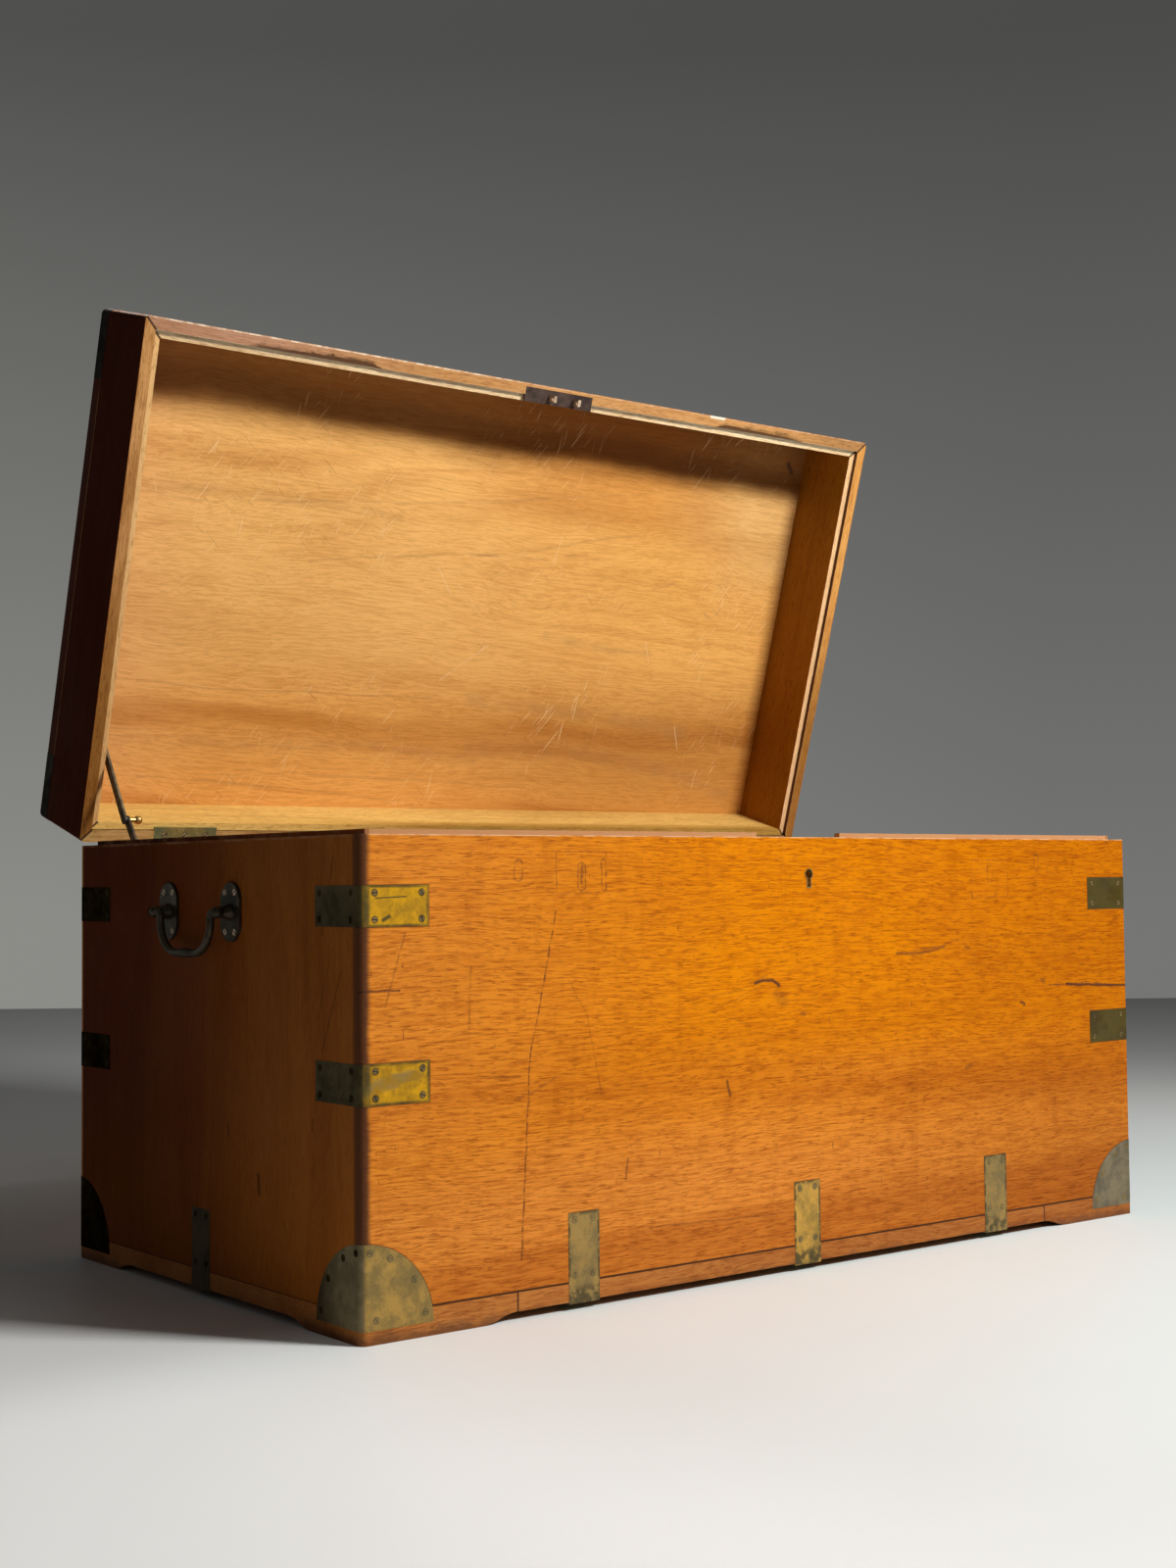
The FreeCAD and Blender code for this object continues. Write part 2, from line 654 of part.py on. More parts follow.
def keyhole_outline(extra):
    """A round head over a straight slot, grown all round by extra."""
    radius, slot = S["KeyRound"] + extra, S["KeySlot"] + extra
    neck = S["KeyHeight"] - root(radius * radius - slot * slot)
    foot = S["KeyHeight"] - S["KeyDrop"] - extra
    return [(LOCK_X - slot, foot), (LOCK_X + slot, foot), (LOCK_X + slot, neck),
            (LOCK_X - slot, neck, (radius, 1, True))]


def keyhole_liner():
    body = new_body("keyhole_liner")
    front = HALF_D + S["LinerProud"]
    pad(body, sketch(body, "XZ", [keyhole_outline(S["LinerWall"])], front), S["LinerDeep"], back=True)
    pocket(body, sketch(body, "XZ", [keyhole_outline(0)], HALF_D))
    return body


def lock_case():
    """A tray let into the front board, with a fixing flange and a slotted top plate."""
    body = new_body("lock_case")
    wall, flange, deep = S["LockWall"], S["LockFlange"], WOOD_Y
    left, right = LOCK_X - HALF_LOCK, LOCK_X + HALF_LOCK
    plate = oblong(left - flange, right + flange, CASE_LOW - flange, H)
    pad(body, sketch(body, "XZ", [plate], IN_D), S["SelvedgeThick"])
    outer = oblong(left, right, CASE_LOW, H)
    inner = oblong(left + wall, right - wall, CASE_LOW + wall, H - S["SelvedgeThick"])
    pad(body, sketch(body, "XZ", [outer, inner], -PLATE_Y), PLATE_Y - deep)
    ledges = [oblong(x - HOOK * 5, x - HOOK * 4, BAR_LOW - HOOK, BAR_LOW - FREE / 2) for x in staple_x]
    pad(body, sketch(body, "XZ", ledges, -PLATE_Y), PLATE_Y - BOLT_Y + S["BoltThick"] / 2)
    pad(body, circle(body, "XZ", LOCK_X, S["KeyHeight"], S["PinRadius"], -PLATE_Y), PLATE_Y - deep - 1)
    half_x, half_y = S["StapleThick"] / 2 + FREE, S["StapleWide"] / 2 + FREE
    slots = [oblong(x - half_x, x + half_x, BOLT_Y - half_y, BOLT_Y + half_y) for x in staple_x]
    pocket(body, sketch(body, "XY", slots, H), S["SelvedgeThick"] + FREE, both=False)
    return body


def lock_bolt():
    """A bar with two hooks, which slide to the right through the staples."""
    body = new_body("lock_bolt")
    low, high = EYE_Z - S["NoseTall"] / 2, EYE_Z + S["NoseTall"] / 2
    half = S["StapleThick"] / 2
    hooks = [(x - half - FREE - S["BoltTravel"], x - half - 2 * FREE) for x in staple_x]
    (left_arm, left_tip), (right_arm, right_tip) = hooks
    tail = left_arm - 3 * HOOK
    outline = [(tail, BAR_LOW), (right_arm, BAR_LOW), (right_arm, low), (right_tip, low), (right_tip, high),
               (right_arm - HOOK, high), (right_arm - HOOK, BAR_TOP), (left_arm, BAR_TOP), (left_arm, low),
               (left_tip, low), (left_tip, high), (left_arm - HOOK, high), (left_arm - HOOK, BAR_TOP),
               (tail, BAR_TOP)]
    pad(body, sketch(body, "XZ", [outline], -BOLT_Y), S["BoltThick"], both=True)
    return body


def link_plate():
    """The plate in the lid's front rim, with the two staples that drop into the lock."""
    body = new_body("link_plate")
    edge = oblong(LOCK_X - HALF_LOCK, LOCK_X + HALF_LOCK, -IN_D - S["LinkWide"], -IN_D)
    pad(body, sketch(body, "XY", [edge], RIM_LID), S["LinkThick"])
    half_x, half_y = S["StapleThick"] / 2, S["StapleWide"] / 2
    feet = [oblong(x - half_x, x + half_x, BOLT_Y - half_y, BOLT_Y + half_y) for x in staple_x]
    pad(body, sketch(body, "XY", feet, RIM_LID), S["StapleLong"], back=True)
    slack = S["BoltThick"] / 2 + FREE
    eye = oblong(BOLT_Y - slack, BOLT_Y + slack, EYE_Z - S["EyeTall"] / 2, EYE_Z + S["EyeTall"] / 2)
    pocket(body, sketch(body, "YZ", [eye]))
    return body


flange_x, flange_z = HALF_LOCK + S["LockFlange"] / 2, CASE_LOW - S["LockFlange"] / 2
lock_spots = [((LOCK_X + side * x, -IN_D, z), V(0, -1, 0)) for side in (-1, 1)
              for x, z in ((flange_x, flange_z), (flange_x, H - S["LockFlange"]))]
lock_screws = screws("lock_screws", lock_spots, *SMALL_SCREW)
liner = node("keyhole_liner", keyhole_liner())
lock = node("lock_case", cut("lock_case", lock_case(), [lock_screws]))
node("lock_bolt", lock_bolt())
link_screw_x = [LOCK_X - HALF_LOCK * 0.75, LOCK_X + HALF_LOCK * 0.1, LOCK_X + HALF_LOCK * 0.75]
link_spots = [((x, -IN_D - S["LinkWide"] / 2, RIM_LID), V(0, 0, 1)) for x in link_screw_x]
link_screws = screws("lock_link_screws", link_spots, *SMALL_SCREW)
lock_link = cut("lock_link_plate_shut", link_plate(), [link_screws])

# ---------------------------------------------------------------- lid stay
LID_PIVOT = (HINGE_Y - S["StayDepth"], HINGE_Z + S["StayHeight"])       # on the shut lid
opened = -S["OpenAngle"]
away_y, away_z = LID_PIVOT[0] - HINGE_Y, LID_PIVOT[1] - HINGE_Z
RAISED = (HINGE_Y + away_y * cosine(opened) - away_z * sine(opened),
          HINGE_Z + away_y * sine(opened) + away_z * cosine(opened))
ELBOW = (RAISED[0] - S["UpperLink"] * cosine(S["UpperAngle"]), RAISED[1] - S["UpperLink"] * sine(S["UpperAngle"]))
CASE_PIVOT = (ELBOW[0] - S["LowerLink"] * cosine(S["LowerAngle"]),
              ELBOW[1] - S["LowerLink"] * sine(S["LowerAngle"]))
UPPER_X = S["StayStandoff"] - IN_W
LOWER_X = UPPER_X + S["LinkPlate"] + FREE


def pivot_plate(name, pivot, reach):
    """A small plate on the inside of the left end, with the stud that a bar turns on."""
    body = new_body(name)
    y, z = pivot
    half, straight = S["LinkBar"] + S["StayPlateMore"], S["StayPlateStraight"] / 2
    rounded = [(y + across, z + up, *bend) for across, up, *bend in stadium(half, -straight, straight)]
    pad(body, sketch(body, "YZ", [rounded], -IN_W), S["LinkPlate"])
    pad(body, circle(body, "YZ", y, z, S["StudRadius"], -IN_W), reach)
    return body


def stay_bar(name, length, x, pivot, angle):
    """A flat bar with round ends and a bored eye at the end that turns on a stud."""
    body = new_body(name)
    half = S["LinkBar"]
    outline = [(0, -half, (half, 1)), (length, -half), (length, half, (half, 1)), (0, half)]
    pad(body, sketch(body, "YZ", [outline]), S["LinkPlate"])
    pocket(body, circle(body, "YZ", 0, 0, S["StudRadius"] + S["Running"]))
    place(body, x, pivot[0], pivot[1], "1; 0; 0", angle)
    return node(name, body)


def stay_knob(name):
    """The turned brass knob on the elbow, on the lower bar's inner face."""
    body = new_body(name)
    ball, stem, long = S["LinkBar"], S["StudRadius"], S["KnobStem"]
    shoulder = root(ball * ball - stem * stem)
    profile = [(0, 0), (long + ball + ball, 0), (long + ball - shoulder, stem, (ball, 1)), (0, stem)]
    revolve(body, sketch(body, "XY", [profile]))
    place(body, LOWER_X + S["LinkPlate"], *ELBOW)
    return node(name, body)


inside = S["LinkPlate"] - IN_W
stay_case_screws = screws("stay_screws_case", [((inside, CASE_PIVOT[0], CASE_PIVOT[1] + up), V(-1, 0, 0))
                                               for up in (-S["StayScrew"], S["StayScrew"])], *SMALL_SCREW)
stay_lid_screws = screws("stay_screws_lid", [((inside, LID_PIVOT[0], LID_PIVOT[1] + up), V(-1, 0, 0))
                                             for up in (-S["StayScrew"], S["StayScrew"])], *SMALL_SCREW)
stay_case_plate = cut("stay_case_plate", pivot_plate("case_pivot_plate", CASE_PIVOT,
                                                     LOWER_X + S["LinkPlate"] + IN_W), [stay_case_screws])
stay_lid_plate = cut("stay_lid_plate_shut", pivot_plate("lid_pivot_plate", LID_PIVOT,
                                                   UPPER_X + S["LinkPlate"] + IN_W), [stay_lid_screws])
node("stay_case_plate", stay_case_plate)
node("fixing_screws_case", group("fixing_screws_case", [lock_screws, stay_case_screws]))
stay_bar("stay_upper_bar", S["UpperLink"], UPPER_X, RAISED, S["UpperAngle"] + 180)
stay_bar("stay_lower_bar", S["LowerLink"], LOWER_X, CASE_PIVOT, S["LowerAngle"])
stay_knob("stay_knob")

# ---------------------------------------------------------------- case
TONGUE_TOP = H + S["TongueHigh"]


def wall_board(name, end):
    """Front or back board: it laps the ends of the end boards and carries its run of tongue."""
    body = new_body(name)
    lap = S["CornerLap"]
    outline = [(-HALF_W, end * (HALF_D - ROUND)), (ROUND - HALF_W, end * HALF_D, (ROUND, -end)),
               (HALF_W - ROUND, end * HALF_D), (HALF_W, end * (HALF_D - ROUND), (ROUND, -end)),
               (HALF_W, end * (HALF_D - lap)), (IN_W, end * (HALF_D - lap)), (IN_W, end * IN_D),
               (-IN_W, end * IN_D), (-IN_W, end * (HALF_D - lap)), (-HALF_W, end * (HALF_D - lap))]
    pad(body, sketch(body, "XY", [outline], S["PlinthTop"]), H - S["PlinthTop"])
    tongue = oblong(-IN_W, IN_W, end * (HALF_D - TONGUE_IN), end * IN_D)
    pad(body, sketch(body, "XY", [tongue], H), S["TongueHigh"])
    return body


def end_board(name, side):
    body = new_body(name)
    reach = HALF_D - S["CornerLap"]
    pad(body, sketch(body, "XY", [oblong(side * HALF_W, side * IN_W, -reach, reach)], S["PlinthTop"]),
        H - S["PlinthTop"])
    reach = HALF_D - TONGUE_IN
    pad(body, sketch(body, "XY", [oblong(side * (HALF_W - TONGUE_IN), side * IN_W, -reach, reach)], H),
        S["TongueHigh"])
    return body


def foot(name, side, end, long):
    """An L-shaped foot; both legs rise to the plinth rails in a double curve."""
    body = new_body(name)
    wide, short = S["PlinthWide"], S["FootShort"]
    plan = [(side * HALF_W, end * (HALF_D - ROUND)),
            (side * (HALF_W - ROUND), end * HALF_D, (ROUND, side * end)),
            (side * (HALF_W - long), end * HALF_D), (side * (HALF_W - long), end * (HALF_D - wide)),
            (side * (HALF_W - wide), end * (HALF_D - wide)), (side * (HALF_W - wide), end * (HALF_D - short)),
            (side * HALF_W, end * (HALF_D - short))]
    pad(body, sketch(body, "XY", [plan]), S["PlinthTop"])
    for plane, sign, face, leg in (("XZ", side, HALF_W, long), ("YZ", end, HALF_D, short)):
        pocket(body, sketch(body, plane, [ogee(sign, face - leg)]))
    return body


def ogee(sign, tip):
    """The gap under a foot's leg: level, then two like curves up to the rail, out past its tip."""
    run, rise = S["OgeeRun"] / 2, S["PlinthLow"] / 2
    bend = (run * run + rise * rise) / (2 * rise)
    return [(sign * (tip + run * 2), 0), (sign * (tip + run), rise, (bend, -sign)),
            (sign * tip, rise * 2, (bend, sign)), (sign * (tip - 1), rise * 2),
            (sign * (tip - 1), -1), (sign * (tip + run * 2), -1)]


def tongue_gap(name, middle, half, end):
    """Where the tongue is cut away for a hinge or the lock."""
    y = sorted([end * (HALF_D - TONGUE_IN) + end, end * IN_D - end], key=lambda value: value.number)
    return box(name, (middle - half - 1, middle + half + 1), y, (H, TONGUE_TOP + 1))


foot_long = {-1: S["FootLongLeft"], 1: S["FootLongRight"]}
for (side, end), plate in corner_plates.items():
    name = "foot_" + plate.Label.replace("corner_brass_", "")
    node(name, cut(name, foot(name + "_block", side, end, foot_long[side]), [plate]))

low, high = S["PlinthLow"], S["PlinthTop"]
for name, end in ENDS.items():
    y = (-HALF_D, S["PlinthWide"] - HALF_D) if end < 0 else (HALF_D - S["PlinthWide"], HALF_D)
    rail = box("plinth_%s_blank" % name, (S["FootLongLeft"] - HALF_W, HALF_W - S["FootLongRight"]), y, (low, high))
    node("plinth_" + name, cut("plinth_" + name, rail, [base_straps_front]) if end < 0 else rail)
for name, side in SIDES.items():
    x = (-HALF_W, S["PlinthWide"] - HALF_W) if side < 0 else (HALF_W - S["PlinthWide"], HALF_W)
    rail = box("plinth_%s_blank" % name, x, (S["FootShort"] - HALF_D, HALF_D - S["FootShort"]), (low, high))
    node("plinth_" + name, cut("plinth_" + name, rail, [base_straps_end[side]]))

lock_seats = [box("lock_seat", (LOCK_X - HALF_LOCK, LOCK_X + HALF_LOCK), (WOOD_Y, -IN_D), (CASE_LOW, H)),
              box("lock_flange_seat", (LOCK_X - HALF_LOCK - S["LockFlange"], LOCK_X + HALF_LOCK + S["LockFlange"]),
                  (PLATE_Y, -IN_D), (CASE_LOW - S["LockFlange"], H))]
lock_gap = tongue_gap("lock_tongue_gap", LOCK_X, HALF_LOCK + S["LockFlange"], -1)
hinge_gaps = [tongue_gap("hinge_tongue_gap", middle, S["HingeLong"] / 2, 1) for middle in hinge_x.values()]

front = wall_board("front_board_blank", -1)
pocket(front, sketch(front, "XZ", [keyhole_outline(S["LinerWall"])]))
node("front_board", cut("front_board", front, [
    edge_straps[-1, -1], edge_straps[1, -1], corner_plates[-1, -1], corner_plates[1, -1], base_straps_front,
    lock_gap, lock_screws] + lock_seats))
node("back_board", cut("back_board", wall_board("back_board_blank", 1), [
    edge_straps[-1, 1], edge_straps[1, 1], corner_plates[-1, 1], corner_plates[1, 1],
    screws_case_hinges] + case_leaves + hinge_gaps))
for name, side in SIDES.items():
    tools = [edge_straps[side, -1], edge_straps[side, 1], corner_plates[side, -1], corner_plates[side, 1],
             base_straps_end[side], handle_screws[side]]
    tools += [stay_case_screws] if side < 0 else []
    node(name + "_board", cut(name + "_board", end_board(name + "_board_blank", side), tools))
node("bottom_board", box("bottom_board", (-IN_W, IN_W), (-IN_D, IN_D), (high, high + S["BottomThick"])))


# ---------------------------------------------------------------- lid
def lid_block(name, grow, low):
    """The lid's rounded outside, grown by a little, from some height to its top."""
    body = new_body(name)
    half_w, half_d, bend = HALF_W + grow, HALF_D + grow, ROUND + grow
    outline = [(bend - half_w, -half_d), (half_w - bend, -half_d), (half_w, bend - half_d, (bend, 1)),
               (half_w, half_d - bend), (half_w - bend, half_d, (bend, 1)), (bend - half_w, half_d),
               (-half_w, half_d - bend, (bend, 1)), (-half_w, bend - half_d)]
    outline[0] = outline[0] + ((bend, 1),)
    block = pad(body, sketch(body, "XY", [outline], low), LID_TOP + grow - low)
    doc.recompute()
    faces = block.Shape.Faces
    top = max(range(len(faces)), key=lambda index: faces[index].CenterOfMass.z)
    edge = body.newObject("PartDesign::Fillet", name + "_round")
    edge.Base = (block, ["Face%d" % (top + 1)])
    edge.setExpression("Radius", (least(S["LidRound"], ROUND - 0.5) + grow).text)
    return body


def lid_rail(name, along, sign):
    """A mitred rail of the lid: along is the axis it runs along, sign the side it is on."""
    body = new_body(name)
    half_long, half_out = (HALF_W, HALF_D) if along == "x" else (HALF_D, HALF_W)
    tuck = ROUND - ROUND / root(size(2))
    line = [(-half_long + tuck, half_out - tuck), (ROUND - half_long, half_out), (half_long - ROUND, half_out),
            (half_long - tuck, half_out - tuck), (half_long - BOARD, half_out - BOARD),
            (BOARD - half_long, half_out - BOARD)]
    turn = -1 if along == "x" else 1
    outline = []
    for index, (a, b) in enumerate(line):
        point = (a, sign * b) if along == "x" else (sign * b, a)
        outline.append(point + (((ROUND, turn * sign),) if index in (1, 3) else ()))
    pad(body, sketch(body, "XY", [outline], RIM_LID), PANEL_LOW - RIM_LID)
    return body


panel = lid_block("lid_panel_blank", size(0), PANEL_LOW)
shell = cut("lid_brass_shell", lid_block("lid_brass_outside", PROUD, PANEL_LOW - BOARD),
            [lid_block("lid_brass_inside", PROUD - THICK, PANEL_LOW - BOARD * 2)])
caps = {}
for side_name, side in SIDES.items():
    for end_name, end in ENDS.items():
        name = "lid_brass_%s_%s" % (end_name, side_name)
        reach = rod(name + "_reach", S["LidBrass"], S["LidBrassSkirt"] + BOARD, side * HALF_W, end * HALF_D,
                    LID_TOP - S["LidBrassSkirt"])
        caps[side, end] = common(name + "_shut", shell, reach)
        lid_node(name, caps[side, end])

clear = S["TongueClear"]
rebate = box("lid_rebate", (TONGUE_IN - HALF_W - clear, HALF_W - TONGUE_IN + clear),
             (TONGUE_IN - HALF_D - clear, HALF_D - TONGUE_IN + clear), (RIM_LID, RIM_LID + S["TongueHigh"] + clear))
lid_node("lid_panel", cut("lid_panel_shut", panel, list(caps.values())))
for name, end in ENDS.items():
    tools = [rebate, caps[-1, end], caps[1, end]]
    tools += [lock_link, link_screws] if end < 0 else lid_leaves + [screws_lid_hinges]
    rail = lid_rail("lid_rail_%s_blank" % name, "x", end)
    lid_node("lid_rail_" + name, cut("lid_rail_%s_shut" % name, rail, tools))
for name, side in SIDES.items():
    tools = [rebate, caps[side, -1], caps[side, 1]] + ([stay_lid_screws] if side < 0 else [])
    rail = lid_rail("lid_rail_%s_blank" % name, "y", side)
    lid_node("lid_rail_" + name, cut("lid_rail_%s_shut" % name, rail, tools))
for name, leaf in zip(hinge_x, lid_leaves):
    lid_node("hinge_%s_lid_leaf" % name, leaf)
lid_node("hinge_screws_lid", screws_lid_hinges)
lid_node("lock_link_plate", lock_link)
lid_node("stay_lid_plate", stay_lid_plate)
lid_node("fixing_screws_lid", group("fixing_screws_lid_shut", [link_screws, stay_lid_screws]))

# ---------------------------------------------------------------- finish
doc.recompute()
failed = [item.Name for item in doc.Objects if "Invalid" in item.State or "Error" in item.State]
assert not failed, "failed features: %s" % failed
for name, thing in NODES.items():
    assert not thing.Shape.isNull() and thing.Shape.isValid(), "bad shape: %s" % name
    assert thing.Shape.Solids, "no solid: %s" % name

print("stay: lid pivot y %.2f z %.2f, elbow y %.2f z %.2f, case pivot y %.2f z %.2f, hinge y %.2f z %.2f" % tuple(
    value.number for point in (RAISED, ELBOW, CASE_PIVOT, (HINGE_Y, HINGE_Z)) for value in point))
os.makedirs("parts", exist_ok=True)
for name, thing in NODES.items():
    thing.Shape.translated(V(0, -S["FrameBack"].number, 0)).exportStep("parts/%s.step" % name)
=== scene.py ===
"""Looks of the campaign chest: wood, brass and iron finishes, screws and wear round the CAD frame."""
import math
import random

import bmesh
import bpy
from mathutils import Matrix, Vector


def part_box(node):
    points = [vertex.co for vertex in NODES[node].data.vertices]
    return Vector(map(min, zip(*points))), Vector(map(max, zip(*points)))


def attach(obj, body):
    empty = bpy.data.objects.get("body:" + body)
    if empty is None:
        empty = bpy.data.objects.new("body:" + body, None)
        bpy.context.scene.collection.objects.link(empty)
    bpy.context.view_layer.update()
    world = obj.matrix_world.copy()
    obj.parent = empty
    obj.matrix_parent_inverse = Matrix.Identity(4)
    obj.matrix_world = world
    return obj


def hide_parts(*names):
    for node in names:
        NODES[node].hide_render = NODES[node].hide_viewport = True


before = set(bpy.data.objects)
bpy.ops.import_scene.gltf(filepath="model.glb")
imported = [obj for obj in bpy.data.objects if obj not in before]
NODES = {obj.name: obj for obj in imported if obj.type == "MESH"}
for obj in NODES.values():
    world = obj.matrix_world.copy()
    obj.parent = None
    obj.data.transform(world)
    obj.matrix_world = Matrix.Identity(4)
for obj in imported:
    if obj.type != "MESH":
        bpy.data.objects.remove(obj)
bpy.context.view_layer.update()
MM = 0.001
random.seed(11)

# ---- places, in millimetres
# x is along the front, y towards the back from the middle of the case, z up from the floor.
case_low, case_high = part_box("front_board")
HALF_W, HALF_D = case_high.x / MM, 265.0
CASE_Y = case_low.y / MM + HALF_D  # the frame's origin is behind the case's middle
HINGE_Y, HINGE_Z = 269.0, 412.7
HINGE_INSET = 118.0  # from an end of the case to the middle of the outer hinge
OPEN = math.radians(73.6)
PROUD = 0.25  # let-in brasses, out of the wood
STRAP_LOWS, STRAP_WIDE = (336.5, 191.5), 34.0  # lower sides of the two rows of straps, and their width
LEG_FRONT, LEG_END = 67.0, 70.0  # reach of the straps along the front and along the ends
CORNER_REACH, CORNER_LOW = 69.5, 11.5  # radius of the bottom corners' arcs, and their lower side
BASE_X = (-272.0, 0.0, 272.0)  # middles of the upright straps on the front
BASE_TOP, BASE_FOOT, BASE_HALF = 84.0, 30.0, 16.5
FOOT_JOINTS = (-344.0, 349.5)  # where the front's plinth rail meets its feet

# these are in metres, as the materials use them
LIP_Y, LIP_X, LIP_Z, RIM_Z = 0.2525, 0.4875, 0.4179, 0.4129  # the step and floor of the lid's rebate; the rim
INNER_Y, INNER_X = 0.2485, 0.4835  # just outside the boards' inner faces
PANEL_TOP = (0.4976, 0.4982)  # the inside of the lid's panel ends, and its outside starts

BARE_WOOD = (0.8, 0.44, 0.16)  # the inner faces of the case's boards

# lines on the front, an end and the inside of the lid: width, strength and points along each
FRONT_LINES = (
    (1.9, 0.85, (-300, 346), (-317, 270), (-329, 225), (-340, 51)), (2.2, 0.45, (-456, 333), (-476, 272)),
    (2.4, 0.4, (-391, 300), (-393, 245)), (2.0, 0.4, (-286, 285), (-266, 254), (-251, 186)),
    (2.2, 0.5, (-346, 186), (-330, 190), (-300, 203)), (1.6, 0.3, (-300, 265), (-303, 232)),
    (1.6, 0.4, (-388, 208), (-340, 206)), (1.3, 1.0, (364, 256), (430, 257), (499, 250)),
    (1.5, 0.9, (-499, 284), (-462, 284.5)), (1.5, 0.35, (-44, 284), (-84, 268), (-150, 262)),
    (1.5, 0.3, (-70, 268), (-118, 250), (-68, 235)), (1.6, 0.5, (150, 298), (196, 303), (222, 309)),
    (1.2, 0.25, (-20, 389), (150, 376)))
FRONT_CRACKS = (
    (3.0, 0.9, (-64, 275), (-52, 277), (-42, 277), (-33, 272)), (12.0, 0.22, (-34, 262), (-28, 256)),
    (3.0, 0.55, (130, 297), (165, 296), (200, 302)), (2.6, 0.95, (394, 256), (430, 254), (499, 251)),
    (1.8, 0.7, (-499, 284), (-462, 284.5)), (3.0, 0.5, (232, 300), (238, 299)),
    (4.0, 0.5, (352, 262), (356, 260)), (3.2, 0.8, (318, 240), (324, 238)),
    (3.4, 0.5, (-4, 244), (1, 243)), (2.6, 0.7, (-101, 186), (-98, 172)),
    (2.6, 0.5, (-221, 125), (-224, 108)), (4.0, 0.4, (230, 177), (238, 179)), (1.4, 0.4, (-196, 62), (-40, 57)))
END_CRACKS = (
    (1.6, 0.5, (-224, 394), (-205, 330)), (1.4, 0.5, (-236, 300), (-205, 232)),
    (1.0, 0.4, (-222, 318), (-200, 262)), (3.4, 0.8, (-98, 120), (-100, 104)),
    (2.4, 0.6, (-44, 160), (-45, 148)), (2.0, 0.5, (-190, 176), (-189, 166)))
PANEL_LINES = (
    (3.0, 0.35, (262, -42), (296, -52)), (2.4, 0.45, (336, -8), (352, -20), (368, -12), (380, -26)),
    (3.0, 0.4, (118, -70), (150, -76)), (2.0, 0.4, (-418, 109), (-340, 114), (-134, 113), (-26, 113)),
    (2.6, 0.4, (-231, -34), (-140, -46), (-31, -60), (95, -64)),
    (2.4, 0.35, (-333, -93), (-254, -98), (-108, -111), (3, -124), (80, -135)),
    (2.4, 0.4, (-403, 215), (-285, 220), (-175, 227), (-68, 237)),
    (2.4, 0.3, (-287, 205), (-178, 208), (-50, 211), (152, 216)),
    (3.0, 0.35, (-19, -58), (66, -71), (161, -95), (225, -108)), (9.0, 0.35, (108, 28), (189, 37), (272, 40)),
    (16.0, 0.35, (13, 112), (126, 116), (237, 123), (350, 138)),
    (20.0, 0.4, (24, 168), (160, 168), (289, 183), (397, 204), (442, 216)),
    (14.0, 0.3, (-440, 170), (-300, 176), (-120, 172), (30, 184)),
    (10.0, 0.25, (-440, -96), (-300, -100), (-120, -92)),
    (2.4, 0.3, (-31, -122), (53, -133), (150, -147), (251, -163)),
    (2.0, 0.3, (-420, -88), (-376, -86), (-350, -88)))
# pale scratches of the lid's inside, by their two ends
PANEL_SCRATCHES = (
    ((-29, -24), (8, 8)), ((-35, 90), (26, 44)), ((266, 25), (277, 51)), ((338, 130), (350, 161)),
    ((286, -8), (305, 8)), ((-60, -40), (-38, -12)), ((-430, -110), (-424, -92)))
# let-in patches of the front, by two corners, and filled slots, by their two ends and radius
FRONT_PATCHES = ((-299, 362), (-243, 398)), ((243, 351), (300, 390))
FRONT_SLOTS = (
    ((-340, 387), (-340, 377), 4.0), ((-271, 384), (-271, 368), 4.2), ((272, 383), (272, 370), 3.6),
    ((347, 392), (347, 381), 3.2), ((-246, 389), (-246, 366), 2.4))
# chips of the lid's front lip: each one's start and end along x, and its depths at even places between
CHIPS = ((-386, -226, (6.0, 6.8, 5.6, 6.9, 6.2, 7.2, 6.4, 7.4, 6.6, 6.9, 5.8)),
         (244, 392, (6.5, 7.5, 6.0, 7.2, 6.4, 7.4, 7.6, 7.0, 4.5)))


def on_case(x, y, z):
    """A place on the case, in metres in the frame."""
    return Vector((x, y + CASE_Y, z)) * MM


def on_lid(x, y, z):
    """A place given on the shut lid, where the open lid holds it."""
    across, up = y - HINGE_Y, z - HINGE_Z
    return on_case(x, HINGE_Y + across * math.cos(OPEN) + up * math.sin(OPEN),
                   HINGE_Z - across * math.sin(OPEN) + up * math.cos(OPEN))


def add_object(name, data):
    item = bpy.data.objects.new(name, data)
    bpy.context.scene.collection.objects.link(item)
    return item


# ---- camera
CAMERA_PLACE = on_case(-1388.9, -1682.6, 373.2)
CAMERA_YAW, CAMERA_PITCH, CAMERA_ROLL = (math.radians(a) for a in (38.464, 2.681, -0.539))
CAMERA_LEVEL = Vector((math.cos(CAMERA_YAW), -math.sin(CAMERA_YAW), 0))
FOCAL_PIXELS, PICTURE_TALL, SENSOR = 2091.0, 1600.0, 36.0


def add_camera():
    turn = (Matrix.Rotation(-CAMERA_YAW, 4, "Z") @ Matrix.Rotation(math.pi / 2 + CAMERA_PITCH, 4, "X")
            @ Matrix.Rotation(CAMERA_ROLL, 4, "Z"))
    data = bpy.data.cameras.new("camera")
    data.sensor_fit = "VERTICAL"
    data.sensor_height = SENSOR
    data.lens = FOCAL_PIXELS / PICTURE_TALL * SENSOR
    camera = add_object("camera", data)
    camera.matrix_world = Matrix.Translation(CAMERA_PLACE) @ turn
    bpy.context.scene.camera = camera


